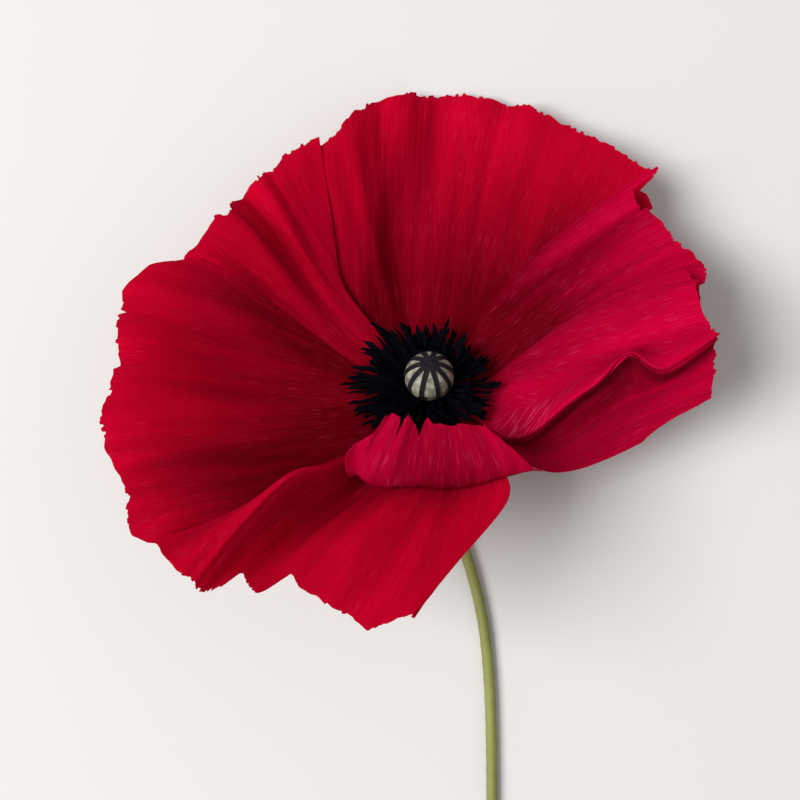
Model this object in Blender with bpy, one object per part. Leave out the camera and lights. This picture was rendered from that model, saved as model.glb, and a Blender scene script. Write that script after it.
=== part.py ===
"""Crepe paper poppy on a wired stem, lying on its back as it comes to rest.

The bloom is modelled round its own axis: x to the right, y up the face of the flower, and z, the rise,
along the axis out of the cup. Zero is the top of the neck, where the stamens leave the wire. The whole
bloom is then tipped back onto the floor, and the stem, bent at the neck, lies along the floor. Lengths here
are millimetres and angles degrees. Blender's metres come in only where a mesh is made.
"""

import math

import bmesh
import bpy
import numpy as np
from mathutils import Matrix, Vector
from mathutils.bvhtree import BVHTree

MM = 0.001

# How close two pieces that touch are modelled
GAP = 0.3

# How far the bloom's axis leans back from upright
BLOOM_TILT = 31.0

# Wire and its green wrapping
WIRE_RADIUS = 0.8
WRAP_WALL = 0.65
STEM_LENGTH = 280.0
BEND_LEAD = 1.5
BEND_CLEAR = 1.0
BENT_LENGTH = 130.0
WRAP_LAP = 1.5
STEM_SIDES = 8

# Stem's route on the floor: to the right of the neck, and forward of it
STEM_ROUTE = ((1, -16), (4, -27), (8.5, -40), (13, -53), (17, -68), (19, -84), (20, -105), (20, -140))

# Seed pod and the star over it
POD_RADIUS = 7.2
POD_FLATTEN = 0.96
POD_SEAT = 2.7
POD_BORE = 4.0
POD_RINGS = 10
RAYS = 10
RAY_WIDTH = 1.5
RAY_END_WIDTH = 0.9
RAY_THICK = 0.3
RAY_SWEEP = 118.0

# Stamens: one strip of crepe, cut to a fringe and wound round the wire
FRINGE_TURNS = 2
FRINGE_TEETH = 28
FRINGE_THICK = 0.5
FRINGE_BAND = 9.0
FRINGE_CUT = 0.72
FRINGE_REACH = (20.5, 23.5)
FRINGE_RISE = (8.5, 4.2)
FRINGE_TIP = 0.75
FRINGE_BEND = (4.5, 1.0)
FRINGE_UNEVEN = 0.1

# The size of the bloom: the petals' guide points and folds are given in hundredths of this length
BLOOM_REACH = 100.0

# Petals' paper, and the neck that they are gathered onto. Each layer lies a little higher than the last.
PAPER = 0.4
TAB_FOOT = -13.5
TAB_TOP = -7.5
COLLAR_REACH = 8.5
COLLAR_RISE = -5.2
LAYER_RISE = 0.95
SHOULDER_REACH = 24.0
SHOULDER_RISE = -1.2
SHOULDER_SWING = 0.7

# Tape round the gathered petals
BINDING_TOP = -10.2
BINDING_WALL = 0.8
BINDING_TAIL = 2.0
BINDING_LIP = 1.0

# Sides of the round pieces that are turned, the pod and the binding
TURNED_SIDES = 20

# Colours, as red, green and blue from 0 to 1
CREPE_RED = (0.47, 0.0, 0.022)
CREPE_RED_COOL = (0.50, 0.0, 0.032)
COOL_PETALS = ("petal_right_back", "petal_right", "petal_curled")
CREPE_NAVY = (0.004, 0.004, 0.008)
CLAY = (0.36, 0.34, 0.25)
CHARCOAL = (0.028, 0.021, 0.03)
TAPE_GREEN = (0.16, 0.18, 0.045)
STEEL = (0.45, 0.45, 0.46)

# The middle of the pod over the neck
POD_RISE = POD_SEAT + POD_RADIUS * POD_FLATTEN

# The foot of the binding, the top of the stem's wrapping, which runs a little way up inside it, and how far
# below the neck the stem begins to bend
BINDING_FOOT = TAB_FOOT - GAP - BINDING_TAIL
WRAP_TOP = BINDING_FOOT + WRAP_LAP
BEND_START = BEND_CLEAR - BINDING_FOOT

# Radii that follow from one another, from the wire outwards
FRINGE_START = WIRE_RADIUS + GAP + FRINGE_THICK / 2
FRINGE_PITCH = FRINGE_THICK + GAP
FRINGE_OUTSIDE = FRINGE_START + FRINGE_TURNS * FRINGE_PITCH + FRINGE_THICK / 2
INNER_SEAT = FRINGE_OUTSIDE + GAP + PAPER / 2
OUTER_SEAT = INNER_SEAT + PAPER + GAP
BINDING_BORE = OUTER_SEAT + PAPER / 2 + GAP
WRAP_RADIUS = WIRE_RADIUS + GAP + WRAP_WALL

# A rib with two guides gets a third between them, at this share of the way out and at the petal's own share
# of the way up, so that the wall is steeper and the rim opens
OPEN_REACH = 0.66

# Each petal: its layer, from the outermost, the part of the neck that it is gathered on, its columns of
# faces, and its ribs. A rib runs with the paper's grain from the neck to the rim, drawn by guide points of
# azimuth, reach and rise. Folds are places across the petal, from 0 to 1, with half their width and their
# height at the rim. Where one rib rises far over the next, the paper is turned over in a sharp fold.
PETALS = {
    "petal_back": {
        "layer": 0,
        "open_rise": 0.92,
        "seat": (116, 64),
        "columns": 18,
        "ribs": (
            ((134, 45, 11), (134, 70, 32)),
            ((115, 52, 9), (113, 75, 36)),
            ((102, 55, 9), (98, 84, 37)),
            ((89, 56, 11), (88, 86, 37)),
            ((77, 57, 11), (75, 86, 37)),
            ((64, 57, 12), (62, 85, 37)),
            ((51, 54, 12), (46, 84, 36)),
            ((39, 50, 11), (34, 80, 32)),
        ),
        "folds": (
            (0.15, 0.05, 2.2),
            (0.22, 0.05, -2.0),
            (0.37, 0.05, 1.8),
            (0.43, 0.05, -1.6),
            (0.66, 0.05, -1.2),
            (0.82, 0.05, 1.4),
        ),
    },
    "petal_upper_left": {
        "layer": 1,
        "open_rise": 1,
        "seat": (168, 121),
        "columns": 18,
        "ribs": (
            ((170, 44, 5), (173, 72, 16)),
            ((158, 48, 9), (162, 74, 28)),
            ((147, 49, 13), (151, 74, 36)),
            ((138, 48, 15), (139, 73, 38)),
            ((133, 46, 16), (128, 71, 39)),
            ((134, 36, 8), (129, 50, 18), (122, 60, 30), (118, 71, 41)),
        ),
        "folds": ((0.29, 0.07, 2.8), (0.47, 0.06, -3.0), (0.65, 0.07, 2.8), (0.83, 0.06, -1.5)),
    },
    "petal_right_back": {
        "layer": 1,
        "open_rise": 0.86,
        "seat": (59, 9),
        "columns": 14,
        "ribs": (
            ((54, 36, 14), (47, 53, 27), (38, 84, 42)),
            ((42, 41, 11), (34, 80, 37)),
            ((33, 43, 8), (27, 79, 33)),
            ((26, 43, 9), (21, 79, 32)),
            ((18, 43, 10), (15, 82, 32)),
            ((10, 43, 8), (7, 80, 28)),
        ),
        "folds": ((0.35, 0.07, -2.5), (0.55, 0.06, 1.8), (0.78, 0.06, -1.6)),
    },
    "petal_left": {
        "layer": 2,
        "open_rise": 1.05,
        "seat": (232, 173),
        "columns": 18,
        "ribs": (
            ((232, 54, 5), (230, 84, 22)),
            ((225, 58, 7), (224, 92, 26)),
            ((218, 59, 9), (217, 98, 30)),
            ((209, 57, 9), (209, 94, 30)),
            ((199, 56, 9), (199, 94, 30)),
            ((187, 54, 9), (188, 89, 30)),
            ((174, 53, 11), (175, 89, 32)),
            ((163, 52, 14), (166, 86, 34)),
            ((154, 50, 17), (160, 78, 36)),
        ),
        "folds": ((0.22, 0.06, 2.0), (0.40, 0.05, -1.6), (0.58, 0.05, 1.6), (0.76, 0.05, -1.4)),
    },
    "petal_right": {
        "layer": 2,
        "open_rise": 0.86,
        "seat": (4, -47),
        "columns": 18,
        "ribs": (
            ((23, 42, 14), (15, 77, 37)),
            ((12, 44, 16), (9, 78, 36)),
            ((359, 43, 16), (360, 59, 26), (2, 79, 36)),
            ((323, 38, 13), (338, 43, 28), (349, 59, 34), (357, 78, 37)),
            ((328, 38, 2), (345, 47, 12), (352, 62, 21), (358, 80, 30)),
            ((326, 39, 2), (336, 49, 12), (345, 61, 21), (353, 80, 27)),
            ((323, 41, 2), (331, 52, 11), (342, 63, 18), (349, 79, 24)),
            ((321, 43, 3), (327, 54, 9), (338, 65, 15), (347, 76, 20)),
        ),
        "folds": ((0.18, 0.06, -1.4),),
    },
    "petal_front": {
        "layer": 3,
        "open_rise": 0.95,
        "seat": (308, 237),
        "columns": 18,
        "ribs": (
            ((303, 50, 19), (284, 58, 22), (269, 77, 27)),
            ((286, 52, 14), (272, 66, 22), (266, 83, 27)),
            ((270, 47, 14), (263, 66, 24), (259, 87, 27)),
            ((257, 45, 13), (250, 65, 23), (248, 83, 26)),
            ((246, 42, 5), (239, 60, 13), (240, 86, 25)),
            ((239, 41, 2), (233, 60, 7), (234, 88, 24)),
            ((232, 44, 17), (227, 58, 23), (228, 77, 27), (231, 96, 31)),
            ((226, 41, 11), (221, 56, 15), (224, 80, 24), (222, 96, 34)),
        ),
        "folds": ((0.30, 0.06, -1.2),),
    },
    "petal_curled": {
        "layer": 4,
        "open_rise": 0.86,
        "seat": (305, 235),
        "columns": 14,
        "ribs": (
            ((305, 44, 18), (309, 54, 24), (305, 43, 28)),
            ((300, 43, 12), (303, 46, 22), (302, 32, 26)),
            ((288, 40, 6), (290, 41, 19), (291, 25, 24)),
            ((272, 40, 5), (273, 40, 19), (274, 22, 24)),
            ((256, 41, 5), (254, 40, 19), (255, 22, 24)),
            ((244, 42, 5), (241, 42, 18), (242, 24, 24)),
            ((237, 41, 6), (232, 42, 15), (236, 33, 21)),
        ),
        "folds": ((0.55, 0.04, 1.0), (0.68, 0.04, -1.2), (0.82, 0.04, 1.2)),
    },
}
PETAL_ROWS = 13

# Rows near the neck, in millimetres along the rib; the rest are even
NECK_ROWS = (0.0, 4.0, 7.0, 9.5, 12.5, 17.0)

# Where along a petal its folds begin
FOLD_START = 0.5

# The outermost petal lies on the floor, and its own weight flattens it up to this height
FLATTENED = 9.0

# Petals that lie on others are kept this far off them, middle to middle, from a little inside the collar
LAYER_SPACE = PAPER + 2 * GAP
LIFT_LEAD = 2.0
LIFT_START = COLLAR_REACH - LIFT_LEAD
STEEPEST = 0.4
TOP_LAYER = max(petal["layer"] for petal in PETALS.values())


def clear_scene():
    for old in list(bpy.data.objects):
        bpy.data.objects.remove(old, do_unlink=True)


def material(name, colour, roughness, metallic=0.0):
    made = bpy.data.materials.new(name)
    made.use_nodes = True
    shader = made.node_tree.nodes["Principled BSDF"]
    shader.inputs["Base Color"].default_value = (*colour, 1.0)
    shader.inputs["Roughness"].default_value = roughness
    shader.inputs["Metallic"].default_value = metallic
    return made


def piece(name, points, faces, look, parent):
    """An object made of points in millimetres, its faces turned outwards."""
    mesh = bpy.data.meshes.new(name)
    mesh.from_pydata([tuple(float(c) * MM for c in p) for p in points], [], faces)
    shape = bmesh.new()
    shape.from_mesh(mesh)
    bmesh.ops.recalc_face_normals(shape, faces=shape.faces)
    shape.to_mesh(mesh)
    shape.free()
    mesh.shade_smooth()
    mesh.set_sharp_from_angle(angle=math.radians(40))
    mesh.materials.append(look)
    made = bpy.data.objects.new(name, mesh)
    bpy.context.collection.objects.link(made)
    made.parent = parent
    return made


def smooth_step(value):
    value = np.clip(value, 0.0, 1.0)
    return value * value * (3.0 - 2.0 * value)


def spline_along(guides, places):
    """Points of a clamped cubic B-spline, which keeps within its guide points, at places from 0 to 1."""
    guides = np.asarray(guides, float)
    degree = 3
    spans = len(guides) - degree
    knots = np.concatenate([np.zeros(degree), np.arange(spans + 1), np.full(degree, spans)])
    u = np.clip(np.asarray(places) * spans, 0, spans - 1e-9)
    weights = [((knots[i] <= u) & (u < knots[i + 1])).astype(float) for i in range(len(knots) - 1)]
    for d in range(1, degree + 1):
        raised = []
        for i in range(len(weights) - 1):
            rising = knots[i + d] - knots[i]
            falling = knots[i + d + 1] - knots[i + 1]
            left = (u - knots[i]) / rising * weights[i] if rising else 0.0
            right = (knots[i + d + 1] - u) / falling * weights[i + 1] if falling else 0.0
            raised.append(left + right)
        weights = raised
    return sum(w[:, None] * g for w, g in zip(weights, guides))


def spline_through(points, places):
    """Points of a Catmull-Rom curve, which passes through each of its points, at places from 0 to 1."""
    points = np.asarray(points, float)
    last = len(points) - 1
    ends = np.concatenate([[2 * points[0] - points[1]], points, [2 * points[-1] - points[-2]]])
    u = np.asarray(places) * last
    k = np.minimum(u.astype(int), last - 1)
    f = (u - k).reshape((-1,) + (1,) * (points.ndim - 1))
    a, b, c, d = ends[k], ends[k + 1], ends[k + 2], ends[k + 3]
    return 0.5 * (2 * b + (c - a) * f + (2 * a - 5 * b + 4 * c - d) * f**2 + (3 * b - a - 3 * c + d) * f**3)


def along_line(line):
    """How far each point of a line is from its first, along the line."""
    steps = np.linalg.norm(np.diff(line, axis=0), axis=1)
    return np.concatenate([[0.0], np.cumsum(steps)])


def points_at(line, lengths):
    """Points of a line at the given lengths along it."""
    run = along_line(line)
    return np.stack([np.interp(lengths, run, line[:, k]) for k in range(3)], axis=1)


def from_axis(azimuth, reach, rise):
    angle = math.radians(azimuth)
    return (reach * math.cos(angle), reach * math.sin(angle), rise)


def nearest_turn(azimuth, other):
    """The same azimuth, given within half a turn of another one."""
    return azimuth - 360.0 * round((azimuth - other) / 360.0)


def rib_guides(petal, share, rib):
    """A rib's guide points, from the foot of the tab that is bound to the neck to the rim."""
    layer = petal["layer"]
    seat = INNER_SEAT if layer == TOP_LAYER else OUTER_SEAT
    start, end = petal["seat"]
    foot = start + (end - start) * share
    lift = layer * LAYER_RISE
    shoulder_azimuth = foot + SHOULDER_SWING * (nearest_turn(rib[0][0], foot) - foot)
    shoulder = (shoulder_azimuth, SHOULDER_REACH, SHOULDER_RISE + lift)
    tab = [(foot, seat, rise) for rise in np.linspace(TAB_FOOT, TAB_TOP, 4)]
    guides = tab + [(foot, COLLAR_REACH, COLLAR_RISE + lift), shoulder]
    if len(rib) == 2:
        wall, rim = np.array(rib)
        rib = (wall, wall + (rim - wall) * (OPEN_REACH, OPEN_REACH, petal["open_rise"]), rim)
    size = BLOOM_REACH / 100
    guides += [(azimuth, reach * size, rise * size) for azimuth, reach, rise in rib]
    return [from_axis(*g) for g in guides]


def facing(grid):
    """The unit normals of a grid of points."""
    along = np.gradient(grid, axis=0)
    across = np.gradient(grid, axis=1)
    normals = np.cross(along, across)
    return normals / np.linalg.norm(normals, axis=2, keepdims=True)


def petal_grid(petal, rows):
    """The middle of a petal's paper, as rows from the neck to the rim and columns across."""
    ribs = petal["ribs"]
    columns = petal["columns"]
    across = np.linspace(0, 1, columns + 1)
    fine = np.linspace(0, 1, 160)
    lines = []
    for i, rib in enumerate(ribs):
        guides = rib_guides(petal, i / (len(ribs) - 1), rib)
        line = spline_along(guides, fine)
        length = along_line(line)[-1]
        open_rows = np.linspace(NECK_ROWS[-1], length, rows + 2 - len(NECK_ROWS))[1:]
        lines.append(points_at(line, np.concatenate([NECK_ROWS, open_rows])))
    grid = spline_through(np.array(lines), across).transpose(1, 0, 2)
    out = facing(grid)
    out *= np.sign(out[rows // 2, columns // 2, 2])
    along = np.linspace(0, 1, rows + 1)
    growth = smooth_step((along - FOLD_START) / (1 - FOLD_START))[:, None]
    for place, width, height in petal["folds"]:
        across_it = np.exp(-(((across - place) / width) ** 2))[None, :]
        fold = height * BLOOM_REACH / 100 * across_it * growth
        grid = grid + out * fold[:, :, None]
    return grid


def flattened(grid):
    """The outermost petal as it lies on the floor: its belly is pressed flat by the flower's weight."""
    tilt = np.array(Matrix.Rotation(math.radians(-BLOOM_TILT), 3, "X"))
    lying = grid @ tilt.T
    height = lying[:, :, 2] - lying[:, :, 2].min()
    reach = np.linalg.norm(grid[:, :, :2], axis=2)
    free = smooth_step((reach - COLLAR_REACH) / (SHOULDER_REACH - COLLAR_REACH))
    lying[:, :, 2] -= height * (1 - smooth_step(height / FLATTENED)) * free
    return lying @ tilt


def grid_triangles(rows, columns):
    faces = []
    for r in range(rows):
        for c in range(columns):
            a = r * (columns + 1) + c
            b = a + columns + 1
            faces += [(a, b, b + 1), (a, b + 1, a + 1)]
    return faces


def lay_over(grid, below):
    """Lifts a petal's points wherever they would come too near the petals that lie under it."""
    down = Vector((0, 0, -1))
    for r, row in enumerate(grid):
        for c, (x, y, z) in enumerate(row):
            if math.hypot(x, y) < LIFT_START:
                continue
            for tree in below:
                hit, normal = tree.ray_cast(Vector((x, y, STEM_LENGTH)), down)[:2]
                if hit is not None:
                    z = max(z, hit.z + LAYER_SPACE / max(abs(normal.z), STEEPEST))
            grid[r, c, 2] = z
    return grid


def sheet_solid(name, grid, thick, look, parent):
    """A closed sheet of the given thickness round a grid of points."""
    rows, columns = grid.shape[0] - 1, grid.shape[1] - 1
    out = facing(grid) * thick / 2
    points = np.concatenate([(grid + out).reshape(-1, 3), (grid - out).reshape(-1, 3)])
    count = (rows + 1) * (columns + 1)
    top = grid_triangles(rows, columns)
    faces = top + [tuple(count + i for i in reversed(f)) for f in top]
    rim = list(range(columns))
    rim += [r * (columns + 1) + columns for r in range(rows)]
    rim += [rows * (columns + 1) + c for c in range(columns, 0, -1)]
    rim += [r * (columns + 1) for r in range(rows, 0, -1)]
    for a, b in zip(rim, rim[1:] + rim[:1]):
        faces.append((a, b, b + count, a + count))
    return piece(name, points, faces, look, parent)


def make_petals(parent):
    """The petals, from the outermost in, each laid over those before it."""
    red = material("red crepe", CREPE_RED, 0.8)
    cool = material("red crepe, right side", CREPE_RED_COOL, 0.8)
    petals = []
    laid = []
    for name, petal in sorted(PETALS.items(), key=lambda item: item[1]["layer"]):
        below = [tree for layer, tree in laid if layer < petal["layer"]]
        grid = petal_grid(petal, PETAL_ROWS)
        if petal["layer"] == 0:
            grid = flattened(grid)
        grid = lay_over(grid, below)
        points = [Vector(p) for p in grid.reshape(-1, 3)]
        tree = BVHTree.FromPolygons(points, grid_triangles(PETAL_ROWS, petal["columns"]))
        laid.append((petal["layer"], tree))
        look = cool if name in COOL_PETALS else red
        petals.append(sheet_solid(name, grid, PAPER, look, parent))
    return petals


def turned(name, outline, look, parent):
    """A solid turned from an outline of (radius, rise), which ends on the axis or closes on itself."""
    closed = outline[0][0] > 0
    sides = TURNED_SIDES
    points = []
    rings = []
    for radius, rise in outline:
        if radius == 0:
            rings.append([len(points)])
            points.append((0, 0, rise))
            continue
        rings.append(list(range(len(points), len(points) + sides)))
        points += [from_axis(360 * k / sides, radius, rise) for k in range(sides)]
    faces = []
    pairs = list(zip(rings, rings[1:] + rings[:1])) if closed else list(zip(rings, rings[1:]))
    for lower, upper in pairs:
        for k in range(sides):
            n = (k + 1) % sides
            low_side = (lower[k % len(lower)], lower[n % len(lower)])
            high_side = (upper[n % len(upper)], upper[k % len(upper)])
            faces.append(tuple(dict.fromkeys(low_side + high_side)))
    return piece(name, points, faces, look, parent)


def make_pod(parent):
    """A ball of clay with a blind hole for the wire."""
    bore = WIRE_RADIUS + GAP
    low = math.degrees(math.asin(bore / POD_RADIUS))
    outline = [(0, POD_RISE + POD_RADIUS * POD_FLATTEN)]
    for k in range(1, POD_RINGS + 1):
        angle = math.radians((180 - low) * k / POD_RINGS)
        outline.append((POD_RADIUS * math.sin(angle), POD_RISE + POD_RADIUS * POD_FLATTEN * math.cos(angle)))
    hole_end = outline[-1][1] + POD_BORE
    outline += [(bore, hole_end), (0, hole_end)]
    turned("seed_pod", outline, material("clay", CLAY, 0.75), parent)
    return hole_end


def make_rays(parent):
    """The dark star over the pod: arms that leave a common hub at the pole and taper down the sides."""
    steps = 5
    outer = POD_RADIUS + GAP + RAY_THICK
    hub = RAY_WIDTH * RAYS / (2 * math.pi)
    first = math.degrees(hub / outer)
    layers = []
    points = []
    for radius in (outer - RAY_THICK, outer):
        places = {}
        places["pole"] = len(points)
        points.append((0, 0, POD_RISE + radius * POD_FLATTEN))
        for arm in range(RAYS):
            for step in range(steps + 1):
                polar = math.radians(first + (RAY_SWEEP - first) * step / steps)
                wide = RAY_WIDTH + (RAY_END_WIDTH - RAY_WIDTH) * step / steps
                flat = radius * math.sin(polar)
                swing = math.degrees(wide / 2 / flat)
                if step == 0:
                    swing = 180.0 / RAYS
                for side in (-1, 1):
                    places[arm, step, side] = len(points)
                    azimuth = 360.0 * arm / RAYS + side * swing
                    points.append(from_axis(azimuth, flat, POD_RISE + radius * POD_FLATTEN * math.cos(polar)))
        layers.append(places)
    # The roots of neighbouring arms share a corner
    for places in layers:
        for arm in range(RAYS):
            places[(arm + 1) % RAYS, 0, -1] = places[arm, 0, 1]
    faces = []
    inner, outer_places = layers
    for places in layers:
        for arm in range(RAYS):
            faces.append((places["pole"], places[arm, 0, -1], places[arm, 0, 1]))
            for step in range(steps):
                corners = ((step, -1), (step + 1, -1), (step + 1, 1), (step, 1))
                faces.append(tuple(places[arm, s, side] for s, side in corners))
    for arm in range(RAYS):
        for side in (-1, 1):
            for step in range(steps):
                a, b = (arm, step, side), (arm, step + 1, side)
                faces.append((inner[a], inner[b], outer_places[b], outer_places[a]))
        a, b = (arm, steps, -1), (arm, steps, 1)
        faces.append((inner[a], inner[b], outer_places[b], outer_places[a]))
    used = sorted({i for f in faces for i in f})
    renumber = {old: new for new, old in enumerate(used)}
    faces = [tuple(renumber[i] for i in f) for f in faces]
    points = [points[i] for i in used]
    return piece("stigma_rays", points, faces, material("charcoal", CHARCOAL, 0.85), parent)


def fringe_radius(turn):
    return FRINGE_START + FRINGE_PITCH * turn


def tooth_line(turn, radius, length):
    """How one tooth of the fringe runs outwards from the band: (reach, rise) at even steps."""
    share = turn / FRINGE_TURNS
    reach = FRINGE_REACH[0] + (FRINGE_REACH[1] - FRINGE_REACH[0]) * share
    rise = FRINGE_RISE[0] + (FRINGE_RISE[1] - FRINGE_RISE[0]) * share
    reach = radius + (reach - radius) * length
    steps = np.linspace(0, 1, 4)[1:, None]
    start = np.array((radius, 0.0))
    middle = start + np.array(FRINGE_BEND)
    end = np.array((reach, rise))
    return (1 - steps) ** 2 * start + 2 * steps * (1 - steps) * middle + steps**2 * end


def make_fringe(parent):
    """A strip wound round the wire as a spiral, every second stretch of its edge drawn out to a tooth."""
    columns = FRINGE_TURNS * FRINGE_TEETH
    points = []
    rings = []
    edges = []
    for tooth in range(columns):
        for edge in (0.0, FRINGE_CUT):
            turn = (tooth + edge) / FRINGE_TEETH
            edges.append(turn)
    edges.append(FRINGE_TURNS)
    for turn in edges:
        azimuth = 360.0 * turn
        radius = fringe_radius(turn)
        inside, outside = radius - FRINGE_THICK / 2, radius + FRINGE_THICK / 2
        rings.append(len(points))
        points += [
            from_axis(azimuth, inside, -FRINGE_BAND),
            from_axis(azimuth, outside, -FRINGE_BAND),
            from_axis(azimuth, outside, 0.0),
            from_axis(azimuth, inside, 0.0),
        ]
    faces = [tuple(rings[0] + k for k in range(4)), tuple(rings[-1] + k for k in range(4))]
    for column, (a, b) in enumerate(zip(rings, rings[1:])):
        faces += [(a, a + 1, b + 1, b), (a + 1, a + 2, b + 2, b + 1), (a + 3, a, b, b + 3)]
        if column % 2:
            faces.append((a + 2, a + 3, b + 3, b + 2))
            continue
        turn = (edges[column] + edges[column + 1]) / 2
        radius = fringe_radius(turn)
        tooth = column // 2
        length = 1.0 + FRINGE_UNEVEN * (math.sin(2.4 * tooth) + 0.5 * math.sin(5.3 * tooth))
        half = radius * math.radians(360.0 * FRINGE_CUT / FRINGE_TEETH) / 2
        azimuth = math.radians(360.0 * turn)
        outward = np.array((math.cos(azimuth), math.sin(azimuth), 0.0))
        sideways = np.array((-math.sin(azimuth), math.cos(azimuth), 0.0))
        line = tooth_line(turn, radius, length)
        before = np.vstack([[(radius, 0.0)], line])
        previous = (a + 3, a + 2, b + 2, b + 3)
        for k in range(1, len(before)):
            ahead = before[min(k + 1, len(before) - 1)] - before[k - 1]
            ahead = ahead / np.linalg.norm(ahead)
            across = np.array((ahead[1], -ahead[0])) * FRINGE_THICK / 2
            share = k / (len(before) - 1)
            wide = half + (FRINGE_TIP - half) * share
            corners = []
            for side, depth in ((-1, -1), (-1, 1), (1, 1), (1, -1)):
                reach, rise = before[k] + depth * across
                corners.append(tuple(outward * reach + sideways * side * wide + np.array((0, 0, rise))))
            now = tuple(range(len(points), len(points) + 4))
            points += corners
            for i in range(4):
                j = (i + 1) % 4
                faces.append((previous[i], previous[j], now[j], now[i]))
            previous = now
        faces.append(previous)
    return piece("stamen_fringe", points, faces, material("navy crepe", CREPE_NAVY, 0.85), parent)


def make_binding(parent):
    """A turned sleeve of tape: wide over the petals' tabs, closing onto the wrapped wire below them."""
    sleeve_end = TAB_FOOT - GAP
    throat = WRAP_RADIUS + GAP
    outside = BINDING_BORE + BINDING_WALL
    outline = [
        (BINDING_BORE, BINDING_TOP),
        (outside, BINDING_TOP),
        (outside, sleeve_end + BINDING_LIP),
        (throat + BINDING_WALL, BINDING_FOOT),
        (throat, BINDING_FOOT),
        (throat, BINDING_FOOT + BINDING_LIP),
        (BINDING_BORE, sleeve_end),
    ]
    return turned("neck_binding", outline, material("florist's tape", TAPE_GREEN, 0.7), parent)


def stem_path(neck, top_rise):
    """The stem's middle line: down the bloom's axis, round the bend and along the floor."""
    axis = np.array((0.0, math.sin(math.radians(BLOOM_TILT)), math.cos(math.radians(BLOOM_TILT))))
    floor = WRAP_RADIUS * math.cos(math.pi / STEM_SIDES)
    # Three guides evenly about the start of the bend keep the curve straight as far as that
    depths = (-top_rise, 0.0, BEND_START - BEND_LEAD, BEND_START, BEND_START + BEND_LEAD)
    guides = [neck - axis * depth for depth in depths]
    guides[-1][2] = max(guides[-1][2], floor)
    for right, forward in STEM_ROUTE:
        guides.append(np.array((neck[0] + right, neck[1] + forward, floor)))
    fine = spline_along(guides, np.linspace(0, 1, 600))
    rest = STEM_LENGTH + top_rise - along_line(fine)[-1]
    end = fine[-1] + np.array((0.0, -rest, 0.0))
    return np.vstack([fine, end])


def swept(name, path, outside, inside, look, parent):
    """A round bar along a path, or a tube where it has an inside radius."""
    sides = STEM_SIDES
    ahead = np.gradient(path, axis=0)
    ahead /= np.linalg.norm(ahead, axis=1, keepdims=True)
    right = np.array((1.0, 0.0, 0.0))
    points = []
    for place, forward in zip(path, ahead):
        right = right - forward * right.dot(forward)
        right /= np.linalg.norm(right)
        up = np.cross(right, forward)
        for radius in (outside, inside) if inside else (outside,):
            for k in range(sides):
                angle = 2 * math.pi * (k + 0.5) / sides
                points.append(place + radius * (math.cos(angle) * right + math.sin(angle) * up))
    ring = sides * (2 if inside else 1)
    faces = []
    last = (len(path) - 1) * ring
    for k in range(sides):
        n = (k + 1) % sides
        for step in range(0, last, ring):
            faces.append((step + k, step + n, step + ring + n, step + ring + k))
            if inside:
                a = step + sides
                faces.append((a + k, a + ring + k, a + ring + n, a + n))
        if inside:
            faces.append((k, sides + k, sides + n, n))
            faces.append((last + k, last + n, last + sides + n, last + sides + k))
    if not inside:
        faces.append(tuple(range(sides)))
        faces.append(tuple(range(last, last + sides)))
    return piece(name, points, faces, look, parent)


def make_stem(neck, top, parent):
    """The wire from the hole in the pod to its cut end, and the crepe wound round it below the neck."""
    path = stem_path(neck, top)
    bent = np.linspace(top + BEND_START, BENT_LENGTH, 24)
    far = np.linspace(BENT_LENGTH, along_line(path)[-1], 6)
    stops = np.concatenate([bent, far[1:]])
    line = points_at(path, np.concatenate([[0.0], stops]))
    swept("stem_wire", line, WIRE_RADIUS, None, material("steel wire", STEEL, 0.4, 1.0), parent)
    line = points_at(path, np.concatenate([[top - WRAP_TOP], stops]))
    bore = WIRE_RADIUS + GAP
    swept("stem_wrap", line, WRAP_RADIUS, bore, material("olive crepe wrap", TAPE_GREEN, 0.7), parent)


def empty(name, parent=None):
    made = bpy.data.objects.new(name, None)
    bpy.context.collection.objects.link(made)
    made.parent = parent
    return made


def set_on_origin(flower):
    """Moves the flower so that the middle of its box's underside is the origin."""
    bpy.context.view_layer.update()
    corners = []
    for made in bpy.data.objects:
        if made.type == "MESH":
            corners += [made.matrix_world @ v.co for v in made.data.vertices]
    corners = np.array(corners)
    low, high = corners.min(axis=0), corners.max(axis=0)
    middle = (low + high) / 2
    flower.location = (-middle[0], -middle[1], -low[2])
    print("size in millimetres:", np.round((high - low) / MM, 1))


def main():
    clear_scene()
    flower = empty("flower")
    bloom = empty("bloom", flower)
    petals = make_petals(bloom)
    tilt = Matrix.Rotation(math.radians(-BLOOM_TILT), 3, "X")
    lowest = min((tilt @ v.co).z for petal in petals for v in petal.data.vertices)
    # The neck is as high as the lowest petal needs to be clear of the floor
    neck = np.array((0.0, 0.0, -lowest / MM))
    bloom.location = Vector(neck) * MM
    bloom.rotation_euler = tilt.to_euler()
    hole_end = make_pod(bloom)
    make_rays(bloom)
    make_fringe(bloom)
    make_binding(bloom)
    make_stem(neck, hole_end - GAP, flower)
    set_on_origin(flower)


main()
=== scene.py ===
# %% [markdown]
# # A poppy of crepe paper
#
# The imported model gives the flower's solids, in metres, in the frame that every piece here shares. This
# script dresses them: crimped petals, a fringe of stamens, a rayed pod and a wrapped stem. It begins by
# loading that frame, and reads the boxes of solids where it needs them.

# %% Load the frame
import math

import bpy
import numpy as np
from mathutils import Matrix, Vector
from mathutils.bvhtree import BVHTree


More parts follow.
